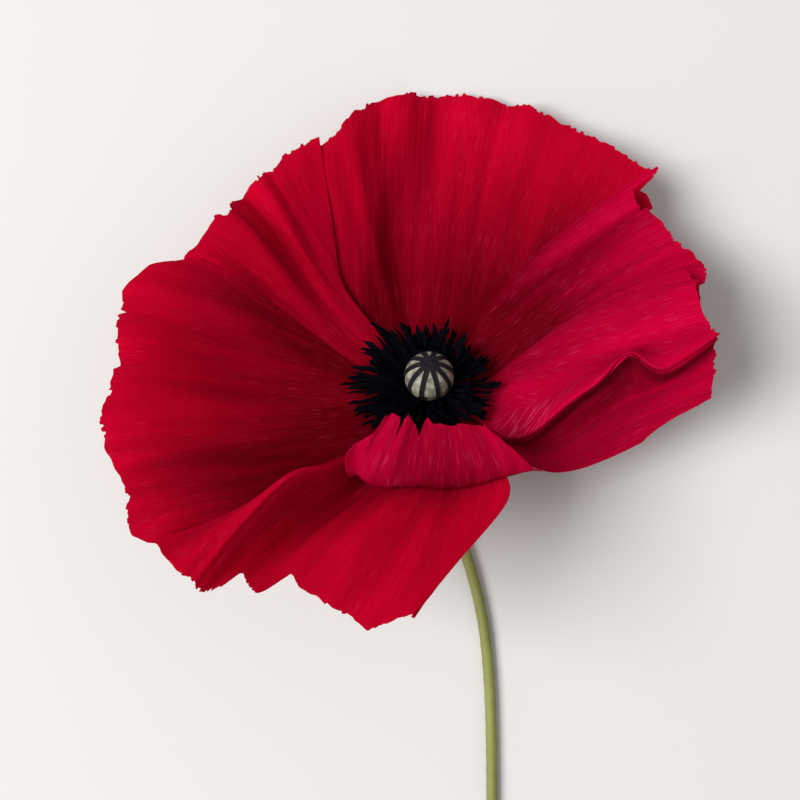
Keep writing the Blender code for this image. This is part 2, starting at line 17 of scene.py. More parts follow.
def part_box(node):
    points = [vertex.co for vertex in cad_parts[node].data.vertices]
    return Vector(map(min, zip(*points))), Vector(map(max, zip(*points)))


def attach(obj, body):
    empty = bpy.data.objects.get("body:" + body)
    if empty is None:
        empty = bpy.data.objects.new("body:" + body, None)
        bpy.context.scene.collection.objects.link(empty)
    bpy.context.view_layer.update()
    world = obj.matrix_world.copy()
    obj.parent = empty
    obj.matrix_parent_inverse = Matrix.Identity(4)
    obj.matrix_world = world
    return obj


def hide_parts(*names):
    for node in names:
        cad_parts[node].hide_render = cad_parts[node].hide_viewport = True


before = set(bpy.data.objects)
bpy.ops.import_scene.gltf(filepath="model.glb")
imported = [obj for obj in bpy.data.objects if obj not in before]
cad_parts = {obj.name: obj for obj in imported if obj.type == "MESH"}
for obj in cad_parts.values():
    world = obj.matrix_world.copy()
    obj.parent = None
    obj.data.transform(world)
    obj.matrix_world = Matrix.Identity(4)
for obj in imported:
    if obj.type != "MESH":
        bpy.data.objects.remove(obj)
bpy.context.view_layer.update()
print("solids:", sorted(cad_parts))

# %% [markdown]
# ## Lengths and colours
#
# The maker of a paper flower thinks in millimetres, and so does this script. Blender's metres come in only
# where a mesh is made. Colours are picked as the hex values that a screen shows, but Blender's shaders want
# linear light, so one function turns them. Materials and Geometry Nodes are trees of nodes. They could be
# clicked together by hand, but a tree that is written down can be read and changed.

# %% Colours, nodes and materials
MM = 0.001


def linear(colour):
    """A hex colour as linear red, green, blue and alpha."""
    parts = [int(colour[k : k + 2], 16) / 255 for k in (1, 3, 5)]
    return [c / 12.92 if c <= 0.04045 else ((c + 0.055) / 1.055) ** 2.4 for c in parts] + [1.0]


def set_inputs(node, inputs):
    """Gives each input its value, or links it to an output, or to the first live output of a node."""
    for name, value in inputs.items():
        if isinstance(value, bpy.types.Node):
            value = next(output for output in value.outputs if output.enabled)
        if isinstance(value, bpy.types.NodeSocket):
            node.id_data.links.new(value, node.inputs[name])
        else:
            node.inputs[name].default_value = value


def add_node(tree, kind, inputs=None, **settings):
    """Adds a node of that kind with its settings and inputs."""
    node = tree.nodes.new(kind)
    for name, value in settings.items():
        setattr(node, name, value)
    set_inputs(node, inputs or {})
    return node


def start_material(name, inputs, dark, light, per_metre, detail=2.0):
    """A material with those shader inputs, and with two tones mixed by a noise of that many spots.

    Returns it with its tree, its shader, the noise and the mixed colour.
    """
    look = bpy.data.materials.new(name)
    look.use_nodes = True
    tree = look.node_tree
    place = add_node(tree, "ShaderNodeTexCoord").outputs["Object"]
    spots = add_node(tree, "ShaderNodeTexNoise", {"Vector": place, "Scale": per_metre, "Detail": detail})
    tones = {"Factor": spots, 6: linear(dark), 7: linear(light)}
    colour = add_node(tree, "ShaderNodeMix", tones, data_type="RGBA")
    set_inputs(tree.nodes["Principled BSDF"], {"Base Color": colour, **inputs})
    print("material:", name)
    return look, tree, tree.nodes["Principled BSDF"], spots, colour


print("mid red is", [round(c, 3) for c in linear("#a0021e")])

# %% [markdown]
# ## Where the bloom sits
#
# The bloom was modelled round its own axis and then tipped back onto the floor. Everything on it is made
# round that axis too: x to the right, y up the face of the flower and z out of the cup, with zero at the top
# of the neck. The pod's highest point along the axis says where the neck is.

# %% The bloom's own frame
BLOOM_TILT = math.radians(31.0)
POD_RADIUS = 7.2
POD_FLATTEN = 0.96
POD_SEAT = 2.7
POD_RISE = POD_SEAT + POD_RADIUS * POD_FLATTEN
POD_TOP = POD_RISE + POD_RADIUS * POD_FLATTEN

UP_THE_FACE = np.array((0.0, math.cos(BLOOM_TILT), -math.sin(BLOOM_TILT)))
AXIS = np.array((0.0, math.sin(BLOOM_TILT), math.cos(BLOOM_TILT)))
TURN = np.stack([(1.0, 0.0, 0.0), UP_THE_FACE, AXIS])

pod_points = np.array([v.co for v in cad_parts["seed_pod"].data.vertices])
NECK = pod_points[np.argmax(pod_points @ AXIS)] - AXIS * POD_TOP * MM


def to_row(points):
    """Points round the bloom's axis, in millimetres, as points of the row's frame, in metres."""
    return np.asarray(points, float) @ TURN * MM + NECK


print("neck at", (NECK / MM).round(2), "mm")

# %% [markdown]
# ## Camera, floor and light
#
# The flower can't stand, so it lies on its back, and the camera looks straight down on it to see what the
# photograph shows. The light is that of a room with a window on the left: one broad lamp there, a weaker one
# across from it, and a pale world all round. Standard view transform keeps the colours as they're written.

# %% Camera
CAMERA_PLACE = (-8.6, -2.1, 420.0)
LENS = 63.0
SENSOR = 36.0

scene = bpy.context.scene
scene.view_settings.view_transform = "Standard"
camera = bpy.data.objects.new("camera", bpy.data.cameras.new("camera"))
camera.data.lens = LENS
camera.data.sensor_width = SENSOR
camera.location = NECK + np.array(CAMERA_PLACE) * MM
scene.collection.objects.link(camera)
scene.camera = camera
print("camera", round(camera.location.z / MM), "mm above the floor")

# %% Floor and lamps
FLOOR = 4.0
FLOOR_DROP = 0.0004
# Name, place and size in metres, and watts.
LAMPS = (("window", (-1.48, 0.08, 2.02), 1.3, 84.0), ("fill", (0.9, 0.2, 2.0), 2.0, 3.0))
ROOM_LIGHT = 0.50

floor_mesh = bpy.data.meshes.new("floor")
signs = ((-1, -1), (1, -1), (1, 1), (-1, 1))
floor_mesh.from_pydata([(x * FLOOR / 2, y * FLOOR / 2, -FLOOR_DROP) for x, y in signs], [], [(0, 1, 2, 3)])
floor = bpy.data.objects.new("floor", floor_mesh)
scene.collection.objects.link(floor)
board = bpy.data.materials.new("painted white board")
board.use_nodes = True
set_inputs(board.node_tree.nodes["Principled BSDF"], {"Base Color": linear("#c8c6c4"), "Roughness": 0.9})
floor_mesh.materials.append(board)

for name, place, size, watts in LAMPS:
    lamp = bpy.data.objects.new(name, bpy.data.lights.new(name, "AREA"))
    lamp.data.size = size
    lamp.data.energy = watts
    lamp.location = place
    lamp.rotation_euler = (-Vector(place)).to_track_quat("-Z", "Y").to_euler()
    scene.collection.objects.link(lamp)

world = bpy.data.worlds.new("room")
world.use_nodes = True
set_inputs(world.node_tree.nodes["Background"], {"Color": linear("#f2f0ee"), "Strength": ROOM_LIGHT})
scene.world = world
print("lamps:", [name for name, *_ in LAMPS])

# %% [markdown]
# ## Turning points into pieces
#
# Each piece ends as a plain mesh whose object sits at the origin. A sheet of paper could be a plane with a
# Solidify modifier. Here it is two grids of points closed round their edge, because each point keeps its own
# values that way. A map on the sheet holds two real lengths in millimetres, across the grain and along it,
# so that the material can follow the grain.

# %% Grids and their faces
def smooth_step(value):
    """Goes from 0 to 1 as the value does, and gently at both ends."""
    value = np.clip(value, 0.0, 1.0)
    return value * value * (3.0 - 2.0 * value)


def grid_faces(rows, columns):
    """The four corners of each face of a grid with that many rows and columns of faces."""
    corner = np.arange(rows)[:, None] * (columns + 1) + np.arange(columns)[None, :]
    corner = corner.ravel()
    return np.stack([corner, corner + columns + 1, corner + columns + 2, corner + 1], axis=1)


def sheet_faces(grid):
    """The faces of a sheet whose points are those of a grid and then as many under them."""
    rows, columns = grid.shape[0] - 1, grid.shape[1] - 1
    count = (rows + 1) * (columns + 1)
    top = grid_faces(rows, columns)
    rim = list(range(columns))
    rim += [r * (columns + 1) + columns for r in range(rows)]
    rim += [rows * (columns + 1) + c for c in range(columns, 0, -1)]
    rim += [r * (columns + 1) for r in range(rows, 0, -1)]
    edge = [(a, b, b + count, a + count) for a, b in zip(rim, rim[1:] + rim[:1])]
    return [*top, *(top[:, ::-1] + count), *edge]


def facing(grid):
    """The unit normals of a grid of points."""
    normals = np.cross(np.gradient(grid, axis=0), np.gradient(grid, axis=1))
    return normals / np.maximum(np.linalg.norm(normals, axis=2, keepdims=True), 1e-9)


print("a sheet of 2 by 3 faces has", len(sheet_faces(np.zeros((3, 4, 3)))), "in all")


# %% Making meshes
def make_piece(name, points, faces, look, grain=None, sharp=50.0, tones=None):
    """An object from points and faces.

    grain gives each point its two map lengths in millimetres, and tones its named values for the material.
    Edges that turn by more than sharp degrees aren't shaded smooth.
    """
    mesh = bpy.data.meshes.new(name)
    mesh.from_pydata(np.asarray(points).tolist(), [], [list(map(int, f)) for f in faces])
    if grain is not None:
        layer = mesh.uv_layers.new(name="grain")
        corner_points = np.empty(len(mesh.loops), dtype=np.int32)
        mesh.loops.foreach_get("vertex_index", corner_points)
        layer.data.foreach_set("uv", np.asarray(grain, dtype=np.float32)[corner_points].ravel())
    for tone, values in (tones or {}).items():
        mesh.attributes.new(tone, "FLOAT", "POINT").data.foreach_set("value", np.float32(values))
    mesh.shade_smooth()
    mesh.set_sharp_from_angle(angle=math.radians(sharp))
    mesh.materials.append(look)
    made = bpy.data.objects.new(name, mesh)
    scene.collection.objects.link(made)
    return made


def paper_sheet(name, grid, thick, look, grain, tones):
    """A sheet of that thickness, in millimetres, round a grid of points on the bloom's own axis."""
    out = facing(grid) * thick / 2
    points = np.concatenate([(grid + out).reshape(-1, 3), (grid - out).reshape(-1, 3)])
    tones = {tone: np.concatenate([values, values]) for tone, values in tones.items()}
    grain = np.concatenate([grain, grain])
    return make_piece(name, to_row(points), sheet_faces(grid), look, grain, tones=tones)


def stand_in(made, node):
    """Makes a piece ride with the flower, in place of a solid, which it hides."""
    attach(made, "root")
    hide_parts(node)
    print(made.name, "stands for", node, "with", len(made.data.polygons), "faces")


# %% [markdown]
# ## Crepe paper
#
# Crepe is tissue that was crimped while wet, so it has fine ridges along its grain, a soft matt face, and it
# lets some light through. Its ridges are about 0.4 mm apart, and broken. Where some would catch the light,
# short, paler dashes are painted into the colour as painted highlights, more of them in some patches than in
# others. A photographed texture would repeat and would stretch with the petals. Noises that are short across
# the grain and long along it don't, and since they read the sheet's own map, the painted dashes run with the
# grain of each petal.
#
# Two values that each point of a sheet carries change the colour. One is painted shade: the red is made
# deeper near the foot of each petal, where the cup lies in shade, and over the right petal's lower face below
# its fold, and it fades out away from the neck. The other marks a patch of painted highlights, pale strokes
# that cross the grain.

# %% The crepe's patterns
# Spacing across the grain and length along it, in millimetres, and a turn in radians.
PATTERNS = {
    "crimp": (0.38, 6.0, 0.0),
    "fine": (0.35, 4.0, 0.0),
    "streak": (6.0, 45.0, 0.0),
    "stroke": (0.8, 6.0, 0.9),
}
CLOUDS_PER_METRE = 1 / 0.03
# The noise values between which a pattern comes in, and how much of it comes in at each.
# The crimps and strokes that show are painted highlights. The clouds set where the crimps show, and the
# streaks deepen the dye.
SHOWN = {
    "crimp": (0.58, 0.72, 0.0, 0.30),
    "cloud": (0.42, 0.58, 0.3, 1.0),
    "streak": (0.35, 0.65, 0.0, 0.2),
    "stroke": (0.52, 0.60, 0.0, 0.9),
}
LIMITS = ("From Min", "From Max", "To Min", "To Max")
# The red that the painted shade mixes in.
SHADE_RED = "#70000e"
LIGHT_THROUGH = 0.42


def crepe_patterns(tree, cloud):
    """The noises of crepe on the sheet's map, and how much of each shows."""
    grain = add_node(tree, "ShaderNodeUVMap", uv_map="grain")
    drawn = {"cloud": cloud}
    for key, (spacing, length, turn) in PATTERNS.items():
        scaled = {"Vector": grain, "Rotation": (0, 0, turn), "Scale": (spacing, length, 1.0)}
        stretched = add_node(tree, "ShaderNodeMapping", scaled, vector_type="TEXTURE")
        rough = {"Vector": stretched, "Scale": 1.0, "Detail": 1.0, "Roughness": 0.4}
        drawn[key] = add_node(tree, "ShaderNodeTexNoise", rough)
    shown = {
        key: add_node(tree, "ShaderNodeMapRange", dict(zip(LIMITS, limits), Value=drawn[key]))
        for key, limits in SHOWN.items()
    }
    return drawn, shown


print(len(PATTERNS), "patterns along the grain")

# %% The crepe's material
def crepe(name, deep, light, glint):
    """Dyed crepe, soft and matt, in a deeper and a lighter dye, with painted shade and painted highlights."""
    soft = {"Roughness": 0.8, "Specular IOR Level": 0.02}
    look, tree, shader, cloud, colour = start_material(name, soft, deep, light, CLOUDS_PER_METRE)
    drawn, shown = crepe_patterns(tree, cloud)
    # The painted shade and the patch of painted highlights that each point carries.
    painted_shade = add_node(tree, "ShaderNodeAttribute", attribute_name="painted_shade").outputs["Fac"]
    rubbed = add_node(tree, "ShaderNodeAttribute", attribute_name="rubbed").outputs["Fac"]
    # Random streaks of deeper dye are added to the painted shade.
    painted_shade = add_node(tree, "ShaderNodeMath", {0: painted_shade, 1: shown["streak"]}, operation="ADD", use_clamp=True)
    # Painted highlights: the crimps that show, in cloudy patches, and the pale strokes of the highlight
    # patch.
    strokes = add_node(tree, "ShaderNodeMath", {0: shown["stroke"], 1: rubbed}, operation="MULTIPLY")
    painted_highlight = add_node(tree, "ShaderNodeMath", {0: shown["crimp"], 1: shown["cloud"]}, operation="MULTIPLY")
    painted_highlight = add_node(tree, "ShaderNodeMath", {0: painted_highlight, 1: strokes}, operation="MAXIMUM")
    # The painted shade and then the painted highlights are mixed over the dye.
    for share, over in ((painted_shade, SHADE_RED), (painted_highlight, glint)):
        coats = {"Factor": share, 6: colour, 7: linear(over)}
        colour = add_node(tree, "ShaderNodeMix", coats, data_type="RGBA")
    height = add_node(tree, "ShaderNodeMath", {0: drawn["crimp"], 1: drawn["fine"]}, operation="ADD")
    bump = add_node(tree, "ShaderNodeBump", {"Height": height, "Strength": 0.35, "Distance": 0.0003})
    set_inputs(shader, {"Base Color": colour, "Normal": bump})
    through = add_node(tree, "ShaderNodeBsdfTranslucent", {"Color": colour, "Normal": bump})
    both = add_node(tree, "ShaderNodeMixShader", {"Fac": LIGHT_THROUGH, 1: shader, 2: through})
    set_inputs(tree.nodes["Material Output"], {"Surface": both})
    return look


# The last colour of each is that of its painted highlights.
RED = crepe("dyed red crepe paper", "#bc0028", "#da0034", "#e03454")
RED_COOL = crepe("dyed red crepe paper, cooler", "#c00034", "#da0042", "#e03c6a")

# %% [markdown]
# ## The rule of a petal
#
# A petal is cut with the grain running from its foot to its rim, and its foot is gathered onto the wire. So
# its ribs are curves that leave the neck together and spread. Each is drawn by a few guide points of azimuth,
# reach and rise round the axis, and the rest of the sheet is a smooth curve through the ribs. It could be
# sculpted or draped instead, but then nothing would keep the gathered layers from crossing. The guides began
# as those of the solids and were fitted closer to the photograph.

# %% Curves through points
def from_axis(azimuth, reach, rise):
    """A place given by its direction and distance from the bloom's axis and its height along it."""
    angle = math.radians(azimuth)
    return (reach * math.cos(angle), reach * math.sin(angle), rise)


def spline_along(guides, places):
    """Points of a clamped cubic B-spline, which keeps within its guide points, at places from 0 to 1."""
    guides = np.asarray(guides, float)
    degree = 3
    spans = len(guides) - degree
    knots = np.clip(np.arange(-degree, spans + degree + 1.0), 0.0, spans)
    u = np.clip(np.asarray(places) * spans, 0, spans - 1e-9)
    weights = [((knots[i] <= u) & (u < knots[i + 1])).astype(float) for i in range(len(knots) - 1)]
    for d in range(1, degree + 1):
        raised = []
        for i in range(len(weights) - 1):
            rising = knots[i + d] - knots[i]
            falling = knots[i + d + 1] - knots[i + 1]
            left = (u - knots[i]) / rising * weights[i] if rising else 0.0
            right = (knots[i + d + 1] - u) / falling * weights[i + 1] if falling else 0.0
            raised.append(left + right)
        weights = raised
    return sum(w[:, None] * g for w, g in zip(weights, guides))


def spline_through(points, places):
    """Points of a Catmull-Rom curve, which passes through each of its points, at places from 0 to 1."""
    points = np.asarray(points, float)
    last = len(points) - 1
    ends = np.concatenate([[2 * points[0] - points[1]], points, [2 * points[-1] - points[-2]]])
    u = np.asarray(places) * last
    k = np.minimum(u.astype(int), last - 1)
    f = (u - k).reshape((-1,) + (1,) * (points.ndim - 1))
    a, b, c, d = ends[k], ends[k + 1], ends[k + 2], ends[k + 3]
    return 0.5 * (2 * b + (c - a) * f + (2 * a - 5 * b + 4 * c - d) * f**2 + (3 * b - a - 3 * c + d) * f**3)


print("half-way between two points:", spline_through([(0, 0), (2, 4)], [0.5])[0])


# %% Lengths along curves, and noise
def along_line(line):
    """How far each point of a line is from its first, along the line."""
    steps = np.linalg.norm(np.diff(line, axis=0), axis=1)
    return np.concatenate([[0.0], np.cumsum(steps)])


def points_at(line, lengths):
    """Points of a line at the given lengths along it, and straight on past its end."""
    run = along_line(line)
    inside = np.stack([np.interp(lengths, run, line[:, k]) for k in range(3)], axis=-1)
    ahead = (line[-1] - line[-4]) / (run[-1] - run[-4])
    return inside + np.maximum(np.asarray(lengths) - run[-1], 0.0)[:, None] * ahead


def noise(u, v, seed):
    """Smooth noise from -1 to 1 that changes over a length of 1 each way."""
    size = 256
    table = np.random.default_rng(seed).uniform(-1, 1, (size, size))
    iu, iv = np.floor(u).astype(int), np.floor(v).astype(int)
    fu, fv = smooth_step(u - iu), smooth_step(v - iv)
    iu, iv, next_u, next_v = iu % size, iv % size, (iu + 1) % size, (iv + 1) % size
    near = table[iu, iv] * (1 - fu) + table[next_u, iv] * fu
    far = table[iu, next_v] * (1 - fu) + table[next_u, next_v] * fu
    return near * (1 - fv) + far * fv


print("noise at one place:", noise(np.array(0.5), np.array(0.5), 1).round(3))

# %% [markdown]
# ## The seven petals
#
# Two rings of petals are gathered on the neck, and one more is rolled in at the front. Places across a petal
# go from 0 at one side to 1 at the other, and lengths are in millimetres. Each petal has its layer, counted
# from the outermost, and these facts:
#
# - ribs: guide points of azimuth, reach and rise. A rib of two has them on its wall and at its rim, and
#   open_rise is how much of the rim's rise the paper between them has.
# - folds: place, half-width, height at the rim, and how far the fold wanders.
# - rim: how much longer or shorter than the smooth outline the paper is at places across. A hand-cut rim is
#   never clean: it has notches, and the scissors left a fine fringe of crimps.
# - gathered: painted shade, as how deep it is at places across and how far from the neck it reaches.
# - seat: the part of the neck, in degrees, that the foot is bound to.
# - flat: the width and length of the piece of paper that the petal was cut from.
# - rubbed: painted highlights, as the patch's place, half-width, middle along the grain and half-length.

# %% Guides of the petals
PETALS = {}


def add_petal(name, **facts):
    """Keeps a petal's facts."""
    PETALS[name] = facts
    print(name, "is cut from", "%d by %d" % facts["flat"], "mm of paper and has", len(facts["ribs"]), "ribs")


# %% The back petal, on which the others lie
add_petal(
    "petal_back",
    layer=0,
    open_rise=0.92,
    gathered=(
        (0.12, 0.9, 72), (0.2, 0.95, 78), (0.3, 0.65, 94), (0.65, 0.9, 98), (0.75, 0.9, 110),
        (0.85, 1.0, 115), (1.0, 1.0, 115),
    ),
    seat=(116, 64),
    flat=(118, 104),
    ribs=(
        ((134, 45, 10), (134, 70, 31)), ((114, 48, 16.5), (113, 73, 40)), ((102, 53, 13.5), (98, 83, 39)),
        ((89, 56, 11), (88, 86, 37)), ((77, 57, 11), (75, 86, 37)), ((64, 57, 12), (62, 85, 37)),
        ((51, 54, 12), (46, 84, 36)), ((39, 50, 11), (34, 80, 32)),
    ),
    folds=(
        (0.1, 0.03, 0.9), (0.17, 0.03, 1.2), (0.25, 0.03, -0.4), (0.33, 0.05, 0.9), (0.44, 0.03, -0.9),
        (0.51, 0.04, 0.8), (0.6, 0.03, -0.7), (0.66, 0.04, 0.9), (0.74, 0.03, -0.7), (0.82, 0.05, 1.2),
    ),
    rim=(
        (0.0, 0.0), (0.15, -0.6), (0.19, 1.0), (0.23, 1.5), (0.29, -0.2), (0.36, -0.7), (0.48, 0.0),
        (0.67, 0.0), (0.77, -0.6), (0.83, 0.3), (0.89, 2.5), (0.93, 5.5), (0.94, 2.0), (0.946, -1.0),
        (0.96, 0.3), (1.0, 0.0),
    ),
)

# %% The pleated petal at the upper left
add_petal(
    "petal_upper_left",
    layer=1,
    open_rise=1,
    gathered=((0.0, 0.4, 98), (0.35, 0.4, 98), (0.47, 0.5, 118), (0.6, 0.3, 98), (1.0, 0.3, 98)),
    seat=(168, 121),
    flat=(72, 96),
    ribs=(
        ((170, 44, 5), (173, 72, 16)), ((158, 48, 9), (162, 74, 28)), ((148, 49, 13), (151, 74, 36)),
        ((141, 48, 14), (140, 73, 37)), ((135, 48, 17), (130, 73, 38)),
        ((128, 30, 5), (131, 42, 12), (125, 49, 21), (121, 59, 32), (117, 72, 41)),
    ),
    folds=(
        (0.1, 0.1, 3.5), (0.34, 0.05, -3.0), (0.47, 0.06, 2.6), (0.62, 0.05, -2.6), (0.72, 0.05, 1.2),
        (0.82, 0.05, -0.6),
    ),
    rim=(
        (0.0, 0.0), (0.15, 0.5), (0.26, 1.8), (0.31, 0.6), (0.4, -0.8), (0.44, -1.2), (0.47, -3.8),
        (0.49, -3.6), (0.53, -1.4), (0.6, -1.2), (0.66, -0.2), (0.7, -1.0), (0.77, -0.6), (0.81, -1.4),
        (0.87, 0.7), (0.92, 0.2), (0.97, 1.1), (1.0, 0.6),
    ),
)

# %% The petal at the upper right
add_petal(
    "petal_right_back",
    layer=1,
    open_rise=0.86,
    gathered=((0.0, 0.8, 98), (0.3, 1.0, 105), (1.0, 1.0, 98)),
    seat=(59, 9),
    flat=(70, 102),
    ribs=(
        ((54, 36, 14), (47, 53, 27), (38, 84, 42)), ((42, 41, 11), (34, 80, 37)),
        ((33, 43, 8), (27, 79, 33)), ((26, 43, 9), (21, 79, 32)), ((18, 43, 10), (15, 82, 32)),
        ((10, 43, 8), (7, 80, 28)),
    ),
    folds=((0.0, 0.02, 1.2), (0.16, 0.1, 3.0), (0.45, 0.07, -1.0), (0.66, 0.07, -3.0), (0.85, 0.06, 1.0)),
    rim=(
        (0.0, 0.6), (0.04, 0.8), (0.05, -3.0), (0.065, -7.0), (0.17, -5.5), (0.235, -5.5), (0.24, -3.0),
        (0.28, -2.4), (0.34, -0.4), (0.38, -0.6), (0.47, 0.4), (0.57, 1.1), (0.576, 2.6), (0.69, 2.4),
        (0.75, 1.0), (0.86, -0.6), (0.865, -2.2), (1.0, -2.0),
    ),
)

# %% The wide petal at the left
add_petal(
    "petal_left",
    layer=2,
    open_rise=1.05,
    gathered=(
        (0.0, 0.8, 98), (0.25, 1.0, 130), (0.38, 1.0, 125), (0.5, 0.9, 84), (0.75, 0.7, 94),
        (0.88, 0.95, 112), (1.0, 0.9, 98),
    ),
    seat=(232, 173),
    flat=(108, 112),
    ribs=(
        ((232, 54, 5), (230, 84, 22)), ((225, 58, 7), (224, 92, 26)), ((218, 59, 9), (217, 98, 30)),
        ((209, 57, 9), (209, 94, 30)), ((199, 56, 9), (199, 94, 30)), ((187, 54, 9), (188, 89, 30)),
        ((174, 53, 11), (175, 89, 32)), ((163, 52, 12), (166, 86, 33)), ((154, 50, 12), (160, 78, 33)),
    ),
    folds=((0.22, 0.06, 2.0), (0.4, 0.05, -1.6), (0.58, 0.05, 1.6), (0.76, 0.05, -1.4)),
    rim=(
        (0.0, 0.0), (0.17, 0.0), (0.19, 1.8), (0.225, 1.8), (0.27, -0.2), (0.34, -1.2), (0.38, 0.3),
        (0.45, 0.8), (0.5, -0.2), (0.555, 0.4), (0.59, -0.8), (0.635, 0.3), (0.639, -1.6), (0.69, -0.7),
        (0.747, -0.7), (0.756, -3.2), (0.762, -0.4), (0.81, 1.6), (0.87, -0.2), (0.91, -0.2),
        (0.945, -2.0), (0.965, -3.4), (1.0, -5.0),
    ),
)

# %% The petal at the right, with its sharp fold
add_petal(
    "petal_right",
    layer=2,
    open_rise=0.86,
    # The painted shade covers the whole lower face below the fold, where the fold's shadow lies.
    gathered=(
        (0.0, 0.6, 98), (0.12, 0.45, 98), (0.28, 0.1, 98), (0.425, 0.0, 98), (0.45, 1.0, 200),
        (0.54, 1.0, 200), (0.62, 0.9, 150), (0.7, 0.7, 125), (0.8, 0.3, 100),
    ),
    seat=(4, -47),
    flat=(76, 96),
    ribs=(
        ((23, 42, 14), (15, 77, 37)), ((12, 44, 16), (9, 78, 36)),
        ((356, 43, 19), (359, 59, 27), (2, 79, 36)),
        ((317, 36, 12), (339, 43, 25), (344, 50, 29), (355, 55, 37),
         (347, 64, 29), (352, 71, 33), (357, 79, 37)),
        ((317, 37, 8), (341, 46, 21), (345, 52, 24), (355, 56, 28),
         (349, 64, 20), (353, 71, 25), (358, 80, 32)),
        ((318, 39, 5), (337, 49, 15), (348, 61, 18), (354, 80, 26)),
        ((319, 41, 2), (335, 50, 6), (346, 62, 9), (351, 79, 18)),
        ((319, 43, -1), (332, 52, -3), (344, 64, 0), (350, 77, 10)),
    ),
    folds=((0.0, 0.05, 2.5), (0.14, 0.05, -2.2), (0.24, 0.05, 0.8), (0.43, 0.012, 2.0, 0.015)),
    # A patch of pale painted highlight strokes lies beside the fold.
    rubbed=(0.39, 0.04, 42, 13),
    rim=(
        (0.0, -2.3), (0.04, -1.5), (0.1, -0.6), (0.15, -2.0), (0.26, -2.3), (0.34, -1.1), (0.44, 0.8),
        (0.452, -0.4), (0.59, -0.6), (0.69, -0.6), (0.8, 1.0), (0.885, 2.5), (0.9, -1.0), (0.915, -7.0),
        (0.945, -12.0), (0.98, -15.0), (1.0, -16.6),
    ),
)

# %% The front petal, whose ridge breaks at a corner
add_petal(
    "petal_front",
    layer=3,
    open_rise=0.95,
    gathered=(
        (0.0, 0.3, 60), (0.2, 0.7, 60), (0.4, 0.7, 60), (0.65, 0.6, 98), (0.82, 0.6, 98), (0.87, 0.0, 98),
    ),
    seat=(308, 237),
    flat=(96, 104),
    ribs=(
        ((303, 50, 19), (284, 58, 22), (269, 77, 27)), ((286, 52, 14), (272, 66, 22), (266, 83, 27)),
        ((270, 47, 14), (263, 66, 24), (259, 87, 27)), ((257, 45, 13), (250, 65, 23), (248, 83, 26)),
        ((246, 42, 5), (239, 60, 13), (240, 86, 25)), ((239, 41, 2), (233, 60, 7), (234, 88, 24)),
        ((232, 44, 17), (227, 50, 21.5), (226, 57, 23), (228, 77, 27), (231, 96, 31)),
        ((226, 41, 11), (221, 56, 15), (224, 80, 24), (222, 96, 34)),
    ),
    folds=((0.3, 0.06, -1.2), (0.86, 0.012, 0.8)),
    rim=(
        (0.0, 6.0), (0.03, 6.0), (0.07, 3.5), (0.15, -0.8), (0.19, -2.2), (0.23, -2.0), (0.29, 0.0),
        (0.345, -1.5), (0.38, 0.3), (0.42, -0.6), (0.48, -2.4), (0.537, -7.3), (0.575, -0.4), (0.59, 1.6),
        (0.63, 1.2), (0.7, -2.8), (0.718, -3.4), (0.722, 4.2), (0.785, 3.6), (0.84, 1.8), (0.878, -0.4),
        (0.905, 0.8), (0.97, 1.2), (1.0, 0.6),
    ),
)

# %% The small petal that rolls over towards the pod
add_petal(
    "petal_curled",
    layer=4,
    open_rise=0.86,
    gathered=((0.0, 0.5, 98), (0.5, 0.95, 98), (0.85, 0.4, 98), (0.95, 0.0, 98)),
    seat=(305, 235),
    flat=(62, 74),
    ribs=(
        ((305, 44, 18), (309, 54, 24), (305, 43, 28)), ((300, 43, 12), (303, 46, 22), (302, 32, 26)),
        ((288, 40, 6), (290, 41, 19), (291, 25, 24)), ((272, 40, 5), (273, 40, 19), (274, 22, 24)),
        ((256, 41, 5), (254, 40, 19), (255, 22, 24)), ((244, 42, 5), (241, 42, 18), (242, 24, 24)),
        ((237, 41, 6), (235, 43, 15), (233, 38, 22)),
    ),
    folds=((0.55, 0.04, 1.0), (0.68, 0.04, -1.2), (0.82, 0.04, 1.2)),
    rim=(
        (0.0, -10.0), (0.05, -9.5), (0.11, -6.0), (0.2, -1.8), (0.23, -0.4), (0.36, -1.7), (0.45, -2.1),
        (0.52, -2.4), (0.557, 0.2), (0.57, -1.5), (0.59, -5.8), (0.62, -3.0), (0.66, -0.8), (0.69, -1.8),
        (0.71, -8.0), (0.725, -3.0), (0.74, -1.6), (0.8, -1.0), (0.86, 0.2), (0.875, -4.2), (0.93, -2.6),
        (1.0, -2.2),
    ),
)

# %% [markdown]
# ## From the neck to the rim
#
# A petal's foot is a narrow tab that is bound to the neck. Above the binding the paper turns outwards over a
# collar, lies on the shoulder of the bloom, and climbs its wall to the rim. So each rib gets the same first
# guide points, a little higher for each layer, and then its own.

# %% A rib's guide points
PAPER = 0.2
INNER_SEAT = 3.7
OUTER_SEAT = 4.4
TAB_FOOT = -13.5
TAB_TOP = -7.5
COLLAR_REACH = 8.5
COLLAR_RISE = -5.2
LAYER_RISE = 0.95
SHOULDER_REACH = 24.0
SHOULDER_RISE = -1.2
SHOULDER_SWING = 0.7
OPEN_REACH = 0.66
TOP_LAYER = max(petal["layer"] for petal in PETALS.values())


def nearest_turn(azimuth, other):
    """The same azimuth, given within half a turn of another one."""
    return azimuth - 360.0 * round((azimuth - other) / 360.0)


